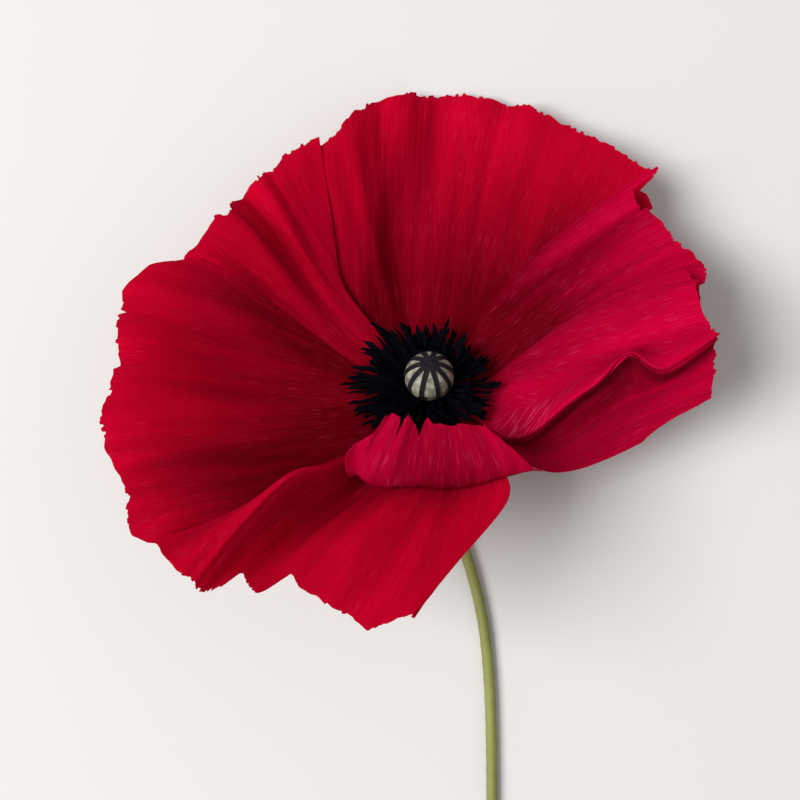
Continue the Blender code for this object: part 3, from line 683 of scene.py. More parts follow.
def rib_guides(petal, share, rib):
    """A rib's guide points, from the foot of the tab that is bound to the neck to the rim."""
    seat = INNER_SEAT if petal["layer"] == TOP_LAYER else OUTER_SEAT
    start, end = petal["seat"]
    foot = start + (end - start) * share
    lift = petal["layer"] * LAYER_RISE
    shoulder = foot + SHOULDER_SWING * (nearest_turn(rib[0][0], foot) - foot)
    guides = [(foot, seat, rise) for rise in np.linspace(TAB_FOOT, TAB_TOP, 4)]
    guides += [(foot, COLLAR_REACH, COLLAR_RISE + lift), (shoulder, SHOULDER_REACH, SHOULDER_RISE + lift)]
    if len(rib) == 2:
        wall, rim = np.array(rib)
        rib = (wall, wall + (rim - wall) * (OPEN_REACH, OPEN_REACH, petal["open_rise"]), rim)
    return [from_axis(*guide) for guide in (*guides, *rib)]


print(len(PETALS), "petals in", TOP_LAYER + 1, "layers")

# %% [markdown]
# ## A petal's grid
#
# The rows are close together where the paper bends round the neck and even after that. The rim's profile
# stretches or shortens each line of grain. Folds and soft waves are pushed out along the paper's normal.

# %% The smooth sheet and its cut edge
ROWS = 78
COLUMN_WIDTH = 0.27
RIB_STEPS = 200
DOWN_THE_RIB = np.linspace(0, 1.12, 240)
TORN_WIDTH = 0.9
TORN_PATCH = 6.0
TORN_SHARE = 1.3
JAG_WIDTH = 2.5
JAG_DEPTH = 0.45


def smooth_sheet(petal, across):
    """Lines of points through a petal's ribs at places across, a little past the rim, and their lengths."""
    lines, lengths = [], []
    for number, rib in enumerate(petal["ribs"]):
        guides = rib_guides(petal, number / (len(petal["ribs"]) - 1), rib)
        line = spline_along(guides, np.linspace(0, 1, RIB_STEPS))
        lengths.append(along_line(line)[-1])
        lines.append(points_at(line, DOWN_THE_RIB * lengths[-1]))
    return spline_through(np.array(lines), across), spline_through(np.array(lengths)[:, None], across)[:, 0]


def cut_lengths(petal, across, length, seed):
    """How long each line of grain is once the rim is cut and torn."""
    cut = across * petal["flat"][0]
    torn_here = smooth_step(noise(cut / TORN_PATCH, cut * 0, seed + 6) * 2 + 0.6)
    torn = noise(np.floor(cut / TORN_WIDTH), cut * 0, seed) * torn_here
    jag = JAG_DEPTH * (TORN_SHARE * torn + noise(cut / JAG_WIDTH, cut * 0, seed + 1))
    return length + np.interp(across, *zip(*petal["rim"])) + jag


print("rows", ROWS, "and a column every", COLUMN_WIDTH, "mm at the widest")

# %% Folds, waves and the whole grid
OPEN_START = 17.0
FOLD_START = 0.19
SWAY_LENGTH = 11.0
WAVE_HEIGHT, WAVE_SIZE = 0.35, (7.0, 40.0)
RUFFLE_HEIGHT, RUFFLE_SIZE = 0.8, (5.0, 60.0)
RUFFLE_START = 0.72


def folded(petal, grid, run, open_share, seed):
    """A petal's grid with its folds, soft waves and ruffled rim."""
    columns = grid.shape[1] - 1
    across = np.broadcast_to(np.linspace(0, 1, columns + 1), run.shape)
    out = facing(grid)
    out *= np.sign(out[ROWS // 2, columns // 2, 2])
    growth = smooth_step((open_share - FOLD_START) / (1 - FOLD_START))
    for place, width, height, *sway in petal["folds"]:
        middle = place + (sway[0] * noise(run / SWAY_LENGTH, run * 0, seed + 7) if sway else 0)
        grid = grid + out * (height * np.exp(-(((across - middle) / width) ** 2)) * growth)[:, :, None]
    cut = across * petal["flat"][0]
    waves = WAVE_HEIGHT * noise(cut / WAVE_SIZE[0], run / WAVE_SIZE[1], seed + 2)
    ruffle = RUFFLE_HEIGHT * noise(cut / RUFFLE_SIZE[0], run / RUFFLE_SIZE[1], seed + 3)
    ruffle = ruffle * smooth_step((open_share - RUFFLE_START) / (1 - RUFFLE_START))
    return grid + out * (waves * smooth_step(open_share * 3) + ruffle)[:, :, None]


def petal_grid(petal, seed):
    """A petal's middle surface as rows from foot to rim, and how far along the paper each point is."""
    across = np.linspace(0, 1, int(petal["flat"][0] / COLUMN_WIDTH) + 1)
    sheet, length = smooth_sheet(petal, across)
    end = cut_lengths(petal, across, length, seed)
    start_rows = np.linspace(0, OPEN_START, max(ROWS // 6, 6) + 1)
    open_rows = np.linspace(0, 1, ROWS - len(start_rows) + 2)[1:]
    grid = np.empty((ROWS + 1, len(across), 3))
    run = np.empty(grid.shape[:2])
    for c in range(len(across)):
        run[:, c] = np.concatenate([start_rows, OPEN_START + (end[c] - OPEN_START) * open_rows])
        for k in range(3):
            grid[:, c, k] = np.interp(run[:, c] / length[c], DOWN_THE_RIB, sheet[c, :, k])
    open_share = (run - OPEN_START) / (end[None, :] - OPEN_START)
    return folded(petal, grid, run, open_share, seed), run


print("the first", OPEN_START, "mm of a petal are gathered at the neck")

# %% [markdown]
# ## Laying the petals
#
# The maker binds the outermost petals last, but it is easier to lay them here from the outermost in, each
# over those before it. A cloth simulation could do it too, but slowly, and it would lose the folds. Here a
# ray from each point down to the petals below finds where it is too near them, and it is lifted there.

# %% Pressing flat and lifting
LAYER_GAP = 0.45
FLATTENED = 9.0
BOUND_REACH = COLLAR_REACH - 2
ABOVE_ALL = 500.0
STEEPEST = 0.4
DOWN = Vector((0, 0, -1))


def flattened(grid):
    """The outermost petal as it lies on the floor: its belly is pressed flat by the flower's weight."""
    lying = grid @ TURN
    height = lying[:, :, 2] - lying[:, :, 2].min()
    reach = np.linalg.norm(grid[:, :, :2], axis=2)
    free = smooth_step((reach - COLLAR_REACH) / (SHOULDER_REACH - COLLAR_REACH))
    lying[:, :, 2] -= height * (1 - smooth_step(height / FLATTENED)) * free
    return lying @ TURN.T


def blur(field, reach):
    """Each value's highest neighbour within reach steps, smoothed over as many."""
    for pick in (np.max, np.mean):
        field = np.pad(field, reach, mode="edge")
        for axis in (0, 1):
            windows = np.lib.stride_tricks.sliding_window_view(field, 2 * reach + 1, axis=axis)
            field = pick(windows, axis=-1)
    return field


def lay_over(grid, below):
    """Lifts a petal wherever it would come too near the petals that lie under it."""
    lift = np.zeros(grid.shape[:2])
    for r, row in enumerate(grid):
        for c, (x, y, z) in enumerate(row):
            if x * x + y * y < BOUND_REACH**2:
                continue
            for petal_below in below:
                hit, normal = petal_below.ray_cast(Vector((x, y, ABOVE_ALL)), DOWN)[:2]
                if hit is not None:
                    clear = hit.z + LAYER_GAP / max(abs(normal.z), STEEPEST)
                    lift[r, c] = max(lift[r, c], clear - z)
    grid = grid.copy()
    grid[:, :, 2] += blur(lift, 3)
    return grid, lift.max()


print("petals lie", LAYER_GAP, "mm apart")

# %% [markdown]
# The crimps come last of all, as a true relief on each sheet, 0.08 mm high either way. Crepe grain doesn't
# fan out as much as a petal does, so the sheet's map mixes the two: part fan, part parallel.

# %% Grain, painted shade and patches of painted highlights
FAN_SHARE = 0.6
CRIMP_HEIGHT, CRIMP_SIZE = 0.08, (0.95, 9.0)
SHADE_FULL_TO = 30.0


def grain_map(grid, run):
    """For each point, its place across the grain and along it, in millimetres."""
    widths = np.linalg.norm(np.diff(grid, axis=1), axis=2).sum(axis=1)
    spread = widths.max() ** FAN_SHARE * widths ** (1 - FAN_SHARE)
    across = np.linspace(-0.5, 0.5, grid.shape[1])[None, :] * spread[:, None]
    return np.stack([across, run], axis=2)


def painted_shade_at(petal, run):
    """How much painted shade each point of a petal gets: all near its foot, and less and less from there."""
    across = np.linspace(0, 1, run.shape[1])
    places, depths, ends = zip(*petal["gathered"])
    eased = smooth_step((run - SHADE_FULL_TO) / (np.interp(across, places, ends) - SHADE_FULL_TO))
    return np.interp(across, places, depths) * (1 - eased)


def rubbed_patch(petal, run):
    """How much of each point of a petal lies in its patch of painted highlights: a soft oval patch, or none.
    """
    if "rubbed" not in petal:
        return run * 0
    place, width, middle, length = petal["rubbed"]
    across = np.linspace(0, 1, run.shape[1])[None, :]
    return np.exp(-(((across - place) / width) ** 4) - ((run - middle) / length) ** 4)


print("crimps", CRIMP_SIZE[0], "mm apart in the relief")

# %% Make and lay the petals
SEEDS_APART = 40
COOL_PETALS = ("petal_right_back", "petal_right", "petal_curled")

laid = []
for number, (name, petal) in enumerate(sorted(PETALS.items(), key=lambda item: item[1]["layer"])):
    seed = SEEDS_APART * number
    grid, run = petal_grid(petal, seed)
    if petal["layer"] == 0:
        grid = flattened(grid)
    grid, lifted = lay_over(grid, [tree for layer, tree in laid if layer < petal["layer"]])
    faces = grid_faces(grid.shape[0] - 1, grid.shape[1] - 1).tolist()
    laid.append((petal["layer"], BVHTree.FromPolygons(grid.reshape(-1, 3).tolist(), faces)))
    grain = grain_map(grid, run)
    crimps = noise(grain[:, :, 0] / CRIMP_SIZE[0], grain[:, :, 1] / CRIMP_SIZE[1], seed + 5)
    grid = grid + facing(grid) * (CRIMP_HEIGHT * crimps)[:, :, None]
    look, slot = (RED_COOL, "red_crepe_cool") if name in COOL_PETALS else (RED, "red_crepe")
    # Each point's painted shade, and its share of the patch of painted highlights.
    tones = {"painted_shade": painted_shade_at(petal, run).ravel(), "rubbed": rubbed_patch(petal, run).ravel()}
    made = paper_sheet(name + "_crepe", grid, PAPER, look, grain.reshape(-1, 2), tones)
    stand_in(made, name)
    width, length = petal["flat"]

# %% [markdown]
# ## The seed pod
#
# The middle of the flower is a ball of air-dried clay, dabbed with cream and grey-green paint. Blender's own
# sphere would be too even: a real pod's sides swell a little between the rays. So its rings are worked out
# here. The material's dabs are about 2.4 mm wide and the clay's grains about 0.5 mm, with a bump for them.

# %% The pod's shape
RAYS = 10
POD_SWELL = 0.25
POD_RINGS = 24
POD_SIDES = 80
POD_FOOT = math.radians(172)


def ring_faces(first, second, sides, outwards=False):
    """The faces between two rings of points, given by the number of each ring's first point."""
    pairs = [(k, (k + 1) % sides) for k in range(sides)]
    if outwards:
        return [(first + a, first + b, second + b, second + a) for a, b in pairs]
    return [(first + a, second + a, second + b, first + b) for a, b in pairs]


points = [(0, 0, POD_RISE + POD_RADIUS * POD_FLATTEN)]
for ring in range(1, POD_RINGS + 1):
    polar = POD_FOOT * ring / POD_RINGS
    for side in range(POD_SIDES):
        azimuth = 2 * math.pi * side / POD_SIDES
        out = POD_RADIUS + POD_SWELL * math.sin(polar) * (math.cos(RAYS * azimuth + math.pi) * 0.5)
        flat = out * math.sin(polar)
        rise = POD_RISE + out * POD_FLATTEN * math.cos(polar)
        points.append((flat * math.cos(azimuth), flat * math.sin(azimuth), rise))
points.append((0, 0, POD_RISE - POD_RADIUS * POD_FLATTEN))
starts = [1 + ring * POD_SIDES for ring in range(POD_RINGS)]
faces = [(0, 1 + k, 1 + (k + 1) % POD_SIDES) for k in range(POD_SIDES)]
for first, second in zip(starts, starts[1:]):
    faces += ring_faces(first, second, POD_SIDES)
faces += [(starts[-1] + k, len(points) - 1, starts[-1] + (k + 1) % POD_SIDES) for k in range(POD_SIDES)]
print("pod:", len(points), "points")

# %% The pod's clay
clay, tree, shader, dabs, paint = start_material(
    "painted air-dried clay", {"Roughness": 0.75}, "#5e5c4e", "#9c9a88", per_metre=420.0, detail=4.0
)
set_inputs(dabs, {"Roughness": 0.6})
dabbed = add_node(tree, "ShaderNodeMapRange", {"Value": dabs, "From Min": 0.38, "From Max": 0.62})
set_inputs(paint, {"Factor": dabbed})
place = add_node(tree, "ShaderNodeTexCoord").outputs["Object"]
grains = add_node(tree, "ShaderNodeTexNoise", {"Vector": place, "Scale": 2200.0, "Detail": 2.0})
dots = add_node(tree, "ShaderNodeMapRange", dict(zip(LIMITS, (0.36, 0.46, 0.55, 0.0)), Value=grains))
dotted = {"Factor": dots, 6: paint, 7: linear("#3c3c30")}
dotted = add_node(tree, "ShaderNodeMix", dotted, data_type="RGBA")
bump = add_node(tree, "ShaderNodeBump", {"Height": grains, "Strength": 0.5, "Distance": 0.0003})
set_inputs(shader, {"Base Color": dotted, "Normal": bump})
stand_in(make_piece("pod_clay", to_row(points), faces, clay), "seed_pod")

# %% [markdown]
# ## Rays over the pod
#
# A dark star of narrow strips lies over the pod: the strips leave its top together and run down its sides.
# They are all alike, so one strip is modelled and Geometry Nodes turn copies of it round the axis, each a
# little off its place. Realize Instances makes the copies real and Set Material gives them their finish.

# %% Starting a tree and running it
def start_tree(name, sockets):
    """An empty Geometry Nodes tree with named inputs, and its input and output nodes."""
    made = bpy.data.node_groups.new(name, "GeometryNodeTree")
    for way in ("INPUT", "OUTPUT"):
        made.interface.new_socket("Geometry", in_out=way, socket_type="NodeSocketGeometry")
    for label, kind, value in sockets:
        socket = made.interface.new_socket(label, in_out="INPUT", socket_type="NodeSocket" + kind)
        socket.default_value = value
    return made, add_node(made, "NodeGroupInput").outputs, add_node(made, "NodeGroupOutput")


def grow(name, base, tree_made, values):
    """Runs a tree on an object and returns the result as a plain mesh, set down in the row's frame."""
    modifier = base.modifiers.new(name, "NODES")
    modifier.node_group = tree_made
    for item in tree_made.interface.items_tree:
        if item.in_out == "INPUT" and item.name in values:
            modifier[item.identifier] = values[item.name]
    evaluated = base.evaluated_get(bpy.context.evaluated_depsgraph_get())
    mesh = bpy.data.meshes.new_from_object(evaluated)
    base.modifiers.remove(modifier)
    bpy.data.objects.remove(base)
    places = np.empty(len(mesh.vertices) * 3)
    mesh.vertices.foreach_get("co", places)
    mesh.vertices.foreach_set("co", to_row(places.reshape(-1, 3)).ravel())
    mesh.update()
    made = bpy.data.objects.new(name, mesh)
    scene.collection.objects.link(made)
    return made


def round_the_axis(tree, count):
    """A point at the neck for each copy, and the even turn of each about the axis."""
    points = add_node(tree, "GeometryNodePoints", {"Count": count, "Position": (0, 0, 0)})
    index = add_node(tree, "GeometryNodeInputIndex")
    step = add_node(tree, "ShaderNodeMath", {0: math.tau, 1: count}, operation="DIVIDE")
    return points, add_node(tree, "ShaderNodeMath", {0: index, 1: step}, operation="MULTIPLY")


def finish_tree(tree, geometry, finish, result):
    """Gives the geometry its finish and makes it the tree's result."""
    finished = add_node(tree, "GeometryNodeSetMaterial", {"Geometry": geometry, "Material": finish})
    set_inputs(result, {0: finished})
    print("tree:", tree.name, "with", len(tree.nodes), "nodes")


# %% A tree that turns copies round the axis
turned_copies, given, result = start_tree(
    "turned copies",
    (("Count", "Int", RAYS), ("Unevenness", "Float", 0.06), ("Seed", "Int", 3), ("Finish", "Material", None)),
)
tree = turned_copies
points, even = round_the_axis(tree, given["Count"])
least = add_node(tree, "ShaderNodeMath", {0: given["Unevenness"], 1: -1.0}, operation="MULTIPLY")
stray = {2: least, 3: given["Unevenness"], "Seed": given["Seed"]}
stray = add_node(tree, "FunctionNodeRandomValue", stray, data_type="FLOAT")
turn = add_node(tree, "ShaderNodeMath", {0: even, 1: stray}, operation="ADD")
angles = add_node(tree, "ShaderNodeCombineXYZ", {"Z": turn})
rotation = add_node(tree, "FunctionNodeEulerToRotation", {0: angles})
placing = {"Points": points, "Instance": given["Geometry"], "Rotation": rotation}
copies = add_node(tree, "GeometryNodeInstanceOnPoints", placing)
real = add_node(tree, "GeometryNodeRealizeInstances", {"Geometry": copies})
finish_tree(tree, real, given["Finish"], result)

# %% [markdown]
# The strip itself is a thin closed band bent over the ball, wider at the top and tapering downwards, with a
# slight ridge along its edges. It is charcoal card, and brush marks about 1 mm wide make it a little uneven.

# %% The rays' card and shape
RAY_WIDTH = 1.55
RAY_END = 1.15
RAY_LIFT = 0.25
RAY_THICK = 0.35
RAY_EDGE = 0.1
RAY_START = 2.0
RAY_SWEEP = 118.0
RAY_STEPS = 26
NARROWEST = 0.02

card = {"Roughness": 0.8, "Specular IOR Level": 0.1}
card = start_material("charcoal card, brushed", card, "#0e0b10", "#221e25", per_metre=900.0, detail=3.0)[0]

grid = np.empty((RAY_STEPS + 1, 7, 3))
for step in range(RAY_STEPS + 1):
    share = step / RAY_STEPS
    polar = math.radians(RAY_START + (RAY_SWEEP - RAY_START) * share)
    wide = RAY_WIDTH + (RAY_END - RAY_WIDTH) * share
    half = min(wide / 2 / (POD_RADIUS * max(math.sin(polar), NARROWEST)), math.pi / RAYS)
    for c, side in enumerate(np.linspace(-1, 1, 7)):
        out = POD_RADIUS + RAY_LIFT + RAY_EDGE * abs(side) ** 3
        reach = out * math.sin(polar)
        rise = POD_RISE + out * POD_FLATTEN * math.cos(polar)
        grid[step, c] = (reach * math.cos(half * side), reach * math.sin(half * side), rise)
outwards = (grid - (0, 0, POD_RISE)) / np.linalg.norm(grid - (0, 0, POD_RISE), axis=2)[:, :, None]
points = np.concatenate([grid.reshape(-1, 3), (grid - outwards * RAY_THICK).reshape(-1, 3)])
one_ray = make_piece("one_ray", points, sheet_faces(grid), card)
values = {"Count": RAYS, "Unevenness": 0.07, "Seed": 5, "Finish": card}
stand_in(grow("rays_charcoal", one_ray, turned_copies, values), "stigma_rays")

# %% [markdown]
# ## Stamens
#
# The stamens are a strip of navy crepe, cut to a fringe and wound round the wire. Every finger of the fringe
# is a narrow flat strip that starts at the neck and spreads. Geometry Nodes plant three hundred of them: each
# point gets its own direction, slope, length, width and roll, from random values with a fixed seed. A sine
# draws the directions together into bunches, a noise bends the fingers a little, and the whole fringe leans
# 2 mm to the left, as it does in the photograph.

# %% A tree that plants fingers
STRAY, ROLL = 0.12, 0.7
SEED_STEP = 17.0
BUNCHING = 0.12
BEND_NOISE, BEND_REACH = 0.16, 12.0
LEAN = -0.11

SIZES = {
    "Least length": 18.0, "Most length": 24.0, "Least slope": 0.2, "Most slope": 0.5,
    "Least width": 0.8, "Most width": 1.7, "Bunches": 9.0, "Bend": 2.4, "Droop": 0.004,
}
fringe_tree, given, result = start_tree(
    "fringe of stamens",
    [("Count", "Int", 60), ("Seed", "Int", 1), ("Finish", "Material", None)]
    + [(label, "Float", value) for label, value in SIZES.items()],
)
tree = fringe_tree
points, even = round_the_axis(tree, given["Count"])
drawn = {
    "stray": (-STRAY, STRAY),
    "slope": (given["Least slope"], given["Most slope"]),
    "length": (given["Least length"], given["Most length"]),
    "width": (given["Least width"], given["Most width"]),
    "roll": (-ROLL, ROLL),
}
for number, (key, (least, most)) in enumerate(drawn.items()):
    seed = {0: given["Seed"], 1: number * SEED_STEP}
    seed = add_node(tree, "ShaderNodeMath", seed, operation="ADD")
    limits = {2: least, 3: most, "Seed": seed}
    drawn[key] = add_node(tree, "FunctionNodeRandomValue", limits, data_type="FLOAT")
turns = add_node(tree, "ShaderNodeMath", {0: even, 1: given["Bunches"]}, operation="MULTIPLY")
bunched = add_node(tree, "ShaderNodeMath", {0: turns}, operation="SINE")
bunched = add_node(tree, "ShaderNodeMath", {0: bunched, 1: BUNCHING}, operation="MULTIPLY")
azimuth = add_node(tree, "ShaderNodeMath", {0: even, 1: drawn["stray"]}, operation="ADD")
azimuth = add_node(tree, "ShaderNodeMath", {0: azimuth, 1: bunched}, operation="ADD")
pitch = add_node(tree, "ShaderNodeMath", {0: drawn["slope"], 1: -1.0}, operation="MULTIPLY")
angles = add_node(tree, "ShaderNodeCombineXYZ", {"X": drawn["roll"], "Y": pitch, "Z": azimuth})
rotation = add_node(tree, "FunctionNodeEulerToRotation", {0: angles})
stretch = add_node(tree, "ShaderNodeCombineXYZ", {"X": drawn["length"], "Y": drawn["width"], "Z": 1.0})
placing = {"Points": points, "Instance": given["Geometry"], "Rotation": rotation, "Scale": stretch}
planted = add_node(tree, "GeometryNodeInstanceOnPoints", placing)
planted = add_node(tree, "GeometryNodeRealizeInstances", {"Geometry": planted})
print("random values:", ", ".join(drawn))

# %% [markdown]
# Once the fingers stand, each of their points moves by an amount that grows with its distance from the neck:
# a noise bends them, their weight makes them droop, and the lean carries them to the left.

# %% Bend, droop and lean
here = add_node(tree, "GeometryNodeInputPosition")
reach = add_node(tree, "ShaderNodeVectorMath", {0: here}, operation="LENGTH")
wander = add_node(tree, "ShaderNodeTexNoise", {"Vector": here, "Scale": BEND_NOISE, "Detail": 1.0})
wander = {0: wander.outputs["Color"], 1: (0.5, 0.5, 0.5)}
wander = add_node(tree, "ShaderNodeVectorMath", wander, operation="SUBTRACT")
amount = add_node(tree, "ShaderNodeMath", {0: reach, 1: BEND_REACH}, operation="DIVIDE")
amount = add_node(tree, "ShaderNodeMath", {0: amount, 1: given["Bend"]}, operation="MULTIPLY")
bend = add_node(tree, "ShaderNodeVectorMath", {0: wander, "Scale": amount}, operation="SCALE")
squared = add_node(tree, "ShaderNodeMath", {0: reach, 1: reach}, operation="MULTIPLY")
fall = add_node(tree, "ShaderNodeMath", {0: squared, 1: given["Droop"]}, operation="MULTIPLY")
fall = add_node(tree, "ShaderNodeMath", {0: fall, 1: -1.0}, operation="MULTIPLY")
lean = add_node(tree, "ShaderNodeMath", {0: reach, 1: LEAN}, operation="MULTIPLY")
drop = add_node(tree, "ShaderNodeCombineXYZ", {"X": lean, "Z": fall})
shift = add_node(tree, "ShaderNodeVectorMath", {0: bend, 1: drop}, operation="ADD")
moved = add_node(tree, "GeometryNodeSetPosition", {"Geometry": planted, "Offset": shift})
finish_tree(tree, moved, given["Finish"], result)

# %% [markdown]
# One finger is a flat closed strip a unit long and a unit wide, tapering to a slanted cut end. The tree
# stretches it to its real size. The crepe is the same as the petals', but so dark that only its soft matt
# face shows, so its material keeps just a slight unevenness of the dye.

# %% One finger of navy crepe
FINGER_STEPS = 9
FINGER_THICK = 0.28
FINGER_FOOT = 0.1
FINGER_SLANT = 0.035
FOOT_WIDTH = 0.55
TIP_WIDENING = 0.45

matt = {"Roughness": 0.85, "Specular IOR Level": 0.02}
navy = start_material("dyed navy crepe paper", matt, "#020308", "#07080e", per_metre=700.0)[0]

finger_points = []
for step in range(FINGER_STEPS + 1):
    share = step / FINGER_STEPS
    x = FINGER_FOOT + (1 - FINGER_FOOT) * share
    half = 0.5 * (FOOT_WIDTH + TIP_WIDENING * share)
    slant = FINGER_SLANT * (step == FINGER_STEPS)
    for y, z in ((-half, -1), (-half, 1), (half, 1), (half, -1)):
        finger_points.append((x + slant * (1 if y > 0 else -1), y, z * FINGER_THICK / 2))
finger_faces = [(3, 2, 1, 0)]
for step in range(FINGER_STEPS):
    finger_faces += ring_faces(4 * step, 4 * step + 4, 4, outwards=True)
finger_faces.append(tuple(4 * FINGER_STEPS + k for k in range(4)))
print("a finger has", len(finger_faces), "faces")

# %% Plant the stamens
# Each ring's seed, number of fingers, lengths, slopes, droop and bunches, from the innermost.
FRINGE_RINGS = (
    (11, 96, (18.0, 23.0), (0.16, 0.36), 0.002, 9.0),
    (23, 90, (17.0, 23.5), (0.30, 0.56), 0.004, 7.0),
    (37, 72, (14.0, 21.0), (0.48, 0.84), 0.006, 8.0),
    (53, 36, (11.0, 15.0), (0.60, 0.95), 0.006, 5.0),
    (71, 6, (23.0, 26.0), (0.20, 0.40), 0.004, 1.0),
)

fringe_parts = []
for seed, count, length, slope, droop, bunches in FRINGE_RINGS:
    values = dict(SIZES, Count=count, Seed=seed, Finish=navy, Droop=droop, Bunches=bunches)
    values["Least length"], values["Most length"] = length
    values["Least slope"], values["Most slope"] = slope
    one_finger = make_piece("one_finger", finger_points, finger_faces, navy, sharp=30.0)
    fringe_parts.append(grow("fringe_%d" % seed, one_finger, fringe_tree, values))
stamens = fringe_parts[0]
with bpy.context.temp_override(active_object=stamens, selected_editable_objects=fringe_parts, object=stamens):
    bpy.ops.object.join()
stamens.name = "stamens_navy"
stand_in(stamens, "stamen_fringe")

# %% [markdown]
# ## Stem and binding
#
# The wire is wrapped in a narrow strip of olive crepe, wound on a slant so that each turn laps over the last.
# The lap is a small step that climbs round the stem. The same tape binds the petals' feet. A curve with a
# round bevel would make a smooth tube, but the lap needs a radius that changes on the way, so the tube is
# made ring by ring. Its path is that of the solids, down to the cut end of the wire.

# %% The stem's path
WIRE_RADIUS = 0.8
WRAP_RADIUS = 1.75
STEM_SIDES = 8
BEND_LEAD = 1.5
BEND_CLEAR = 1.0
BINDING_TOP = -10.2
BINDING_TAIL = 2.0
BINDING_FOOT = TAB_FOOT - 0.3 - BINDING_TAIL
BEND_START = BEND_CLEAR - BINDING_FOOT
WRAP_TOP = BINDING_FOOT + 1.5
STEM_ROUTE = ((1, -16), (4, -27), (8.5, -40), (13, -53), (17, -68), (19, -84), (20, -105), (20, -140))
STEM_STEPS = 700

neck_mm = NECK / MM
depths = (0.0, BEND_START - BEND_LEAD, BEND_START, BEND_START + BEND_LEAD)
lying_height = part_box("stem_wrap")[0][2] / MM + WRAP_RADIUS * math.cos(math.pi / STEM_SIDES)
guides = [neck_mm - AXIS * depth for depth in depths]
guides[-1][2] = max(guides[-1][2], lying_height)
guides += [np.array((neck_mm[0] + x, neck_mm[1] + y, lying_height)) for x, y in STEM_ROUTE]
stem_line = spline_along(guides, np.linspace(0, 1, STEM_STEPS))
wire_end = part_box("stem_wire")[0][1] / MM
stem_line = np.vstack([stem_line, (stem_line[-1][0], wire_end, stem_line[-1][2])])
print("stem runs", round(along_line(stem_line)[-1]), "mm from the neck")

# %% The olive tape
TAPE_CRIMP = (1 / 1.6, 1 / 0.35, 1.0)
TAPE_SLANT = 0.35

tape, tree, shader, *_ = start_material(
    "olive crepe tape, waxed", {"Roughness": 0.65}, "#64682c", "#888c48", per_metre=120.0
)
grain = add_node(tree, "ShaderNodeUVMap", uv_map="grain")
slanted = {"Vector": grain, "Scale": TAPE_CRIMP, "Rotation": (0, 0, TAPE_SLANT)}
slanted = add_node(tree, "ShaderNodeMapping", slanted)
crimps = add_node(tree, "ShaderNodeTexNoise", {"Vector": slanted, "Scale": 1.0, "Detail": 2.0})
bump = add_node(tree, "ShaderNodeBump", {"Height": crimps, "Strength": 0.6, "Distance": 0.0002})
set_inputs(shader, {"Normal": bump})

# %% A wound tube
TUBE_STEP = 0.55
TUBE_SIDES = 24
TAPE_ROUND = 11.0


def wound_tube(name, line, radius, bore):
    """A closed tube of tape along a line, with a radius for each length and angle, and a bore."""
    run = along_line(line)
    stops = np.concatenate([np.arange(0.0, run[-1], TUBE_STEP), [run[-1]]])
    path = np.stack([np.interp(stops, run, line[:, k]) for k in range(3)], axis=1)
    ahead = np.gradient(path, axis=0)
    ahead /= np.linalg.norm(ahead, axis=1, keepdims=True)
    right = np.array((1.0, 0.0, 0.0))
    outside, inside, grain = [], [], []
    for place, forward, at in zip(path, ahead, stops):
        right = right - forward * right.dot(forward)
        right /= np.linalg.norm(right)
        up = np.cross(right, forward)
        for k in range(TUBE_SIDES):
            angle = math.tau * k / TUBE_SIDES
            way = math.cos(angle) * right + math.sin(angle) * up
            outside.append(place + way * radius(at, angle))
            inside.append(place + way * bore)
            grain.append((angle / math.tau * TAPE_ROUND, at))
    count = len(outside)
    starts = [ring * TUBE_SIDES for ring in range(len(stops))]
    faces = []
    for first, second in zip(starts, starts[1:]):
        faces += ring_faces(first, second, TUBE_SIDES, outwards=True)
        faces += ring_faces(count + first, count + second, TUBE_SIDES)
    faces += ring_faces(0, count, TUBE_SIDES)
    faces += ring_faces(starts[-1], count + starts[-1], TUBE_SIDES, outwards=True)
    return make_piece(name, np.array(outside + inside) * MM, faces, tape, np.array(grain + grain), sharp=35.0)


def lap(at, angle, pitch, step):
    """How far the tape lies below its last edge at a length and an angle, wound at that pitch."""
    return step * ((at / pitch - angle / math.tau) % 1.0)


print("a tube has", TUBE_SIDES, "sides")

# %% The stem's wrapping
WRAP_PITCH = 5.5
WRAP_STEP = 0.12


def wrapped(at, angle):
    """The radius of the wrapped stem."""
    return WRAP_RADIUS - lap(at, angle, WRAP_PITCH, WRAP_STEP)


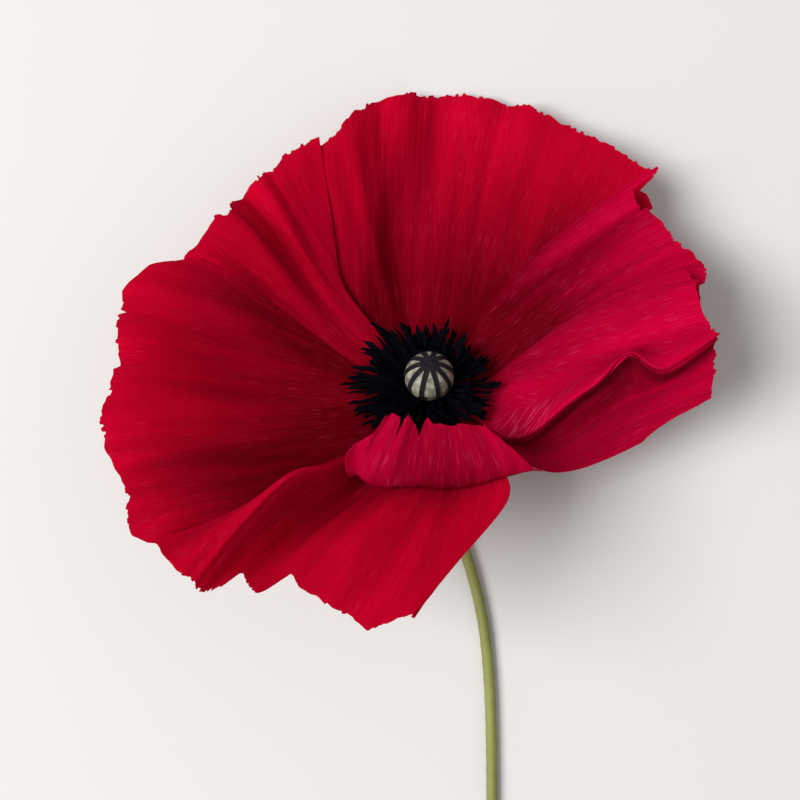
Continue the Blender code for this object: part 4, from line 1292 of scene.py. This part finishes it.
below_top = stem_line[along_line(stem_line) > -WRAP_TOP]
wrap_line = np.vstack([[neck_mm + AXIS * WRAP_TOP], below_top])
wrap = wound_tube("stem_wrapping", wrap_line, wrapped, WIRE_RADIUS + 0.02)
stand_in(wrap, "stem_wrap")

# %% The binding round the petals' feet
BINDING_BORE = OUTER_SEAT + 0.5
BINDING_OUTSIDE = BINDING_BORE + 0.8
# Share of the way down the binding, and the radius there.
BINDING_SHAPE = (
    (0.0, BINDING_OUTSIDE - 0.25), (0.12, BINDING_OUTSIDE), (0.55, BINDING_OUTSIDE),
    (0.78, WRAP_RADIUS + 2.2), (1.0, WRAP_RADIUS + 0.9),
)
BINDING_PITCH = 1.6
BINDING_STEP = 0.14


def bound(at, angle):
    """The radius of the binding, which narrows from the petals' feet to the stem."""
    outside = np.interp(at / (BINDING_TOP - BINDING_FOOT), *zip(*BINDING_SHAPE))
    return outside - lap(at, angle, BINDING_PITCH, BINDING_STEP)


binding_line = np.array([neck_mm + AXIS * rise for rise in np.linspace(BINDING_TOP, BINDING_FOOT, 12)])
binding = wound_tube("neck_tape", binding_line, bound, WRAP_RADIUS + 0.05)
stand_in(binding, "neck_binding")

# %% [markdown]
# ## The wire
#
# The wire shows only at its cut end. Its solid is already right, so it stays and gets a better material:
# bare steel, with the fine uneven gloss that drawing it through a die leaves.

# %% The wire's steel
STEEL_LINES_PER_METRE = 3000.0

steel = bpy.data.materials.new("drawn steel wire")
steel.use_nodes = True
tree = steel.node_tree
place = add_node(tree, "ShaderNodeTexCoord").outputs["Object"]
lines = add_node(tree, "ShaderNodeTexNoise", {"Vector": place, "Scale": STEEL_LINES_PER_METRE})
gloss = add_node(tree, "ShaderNodeMapRange", {"Value": lines, "To Min": 0.3, "To Max": 0.5})
bare = {"Base Color": linear("#a8a8aa"), "Metallic": 1.0, "Roughness": gloss}
set_inputs(tree.nodes["Principled BSDF"], bare)
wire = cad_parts["stem_wire"]
wire.data.materials.clear()
wire.data.materials.append(steel)
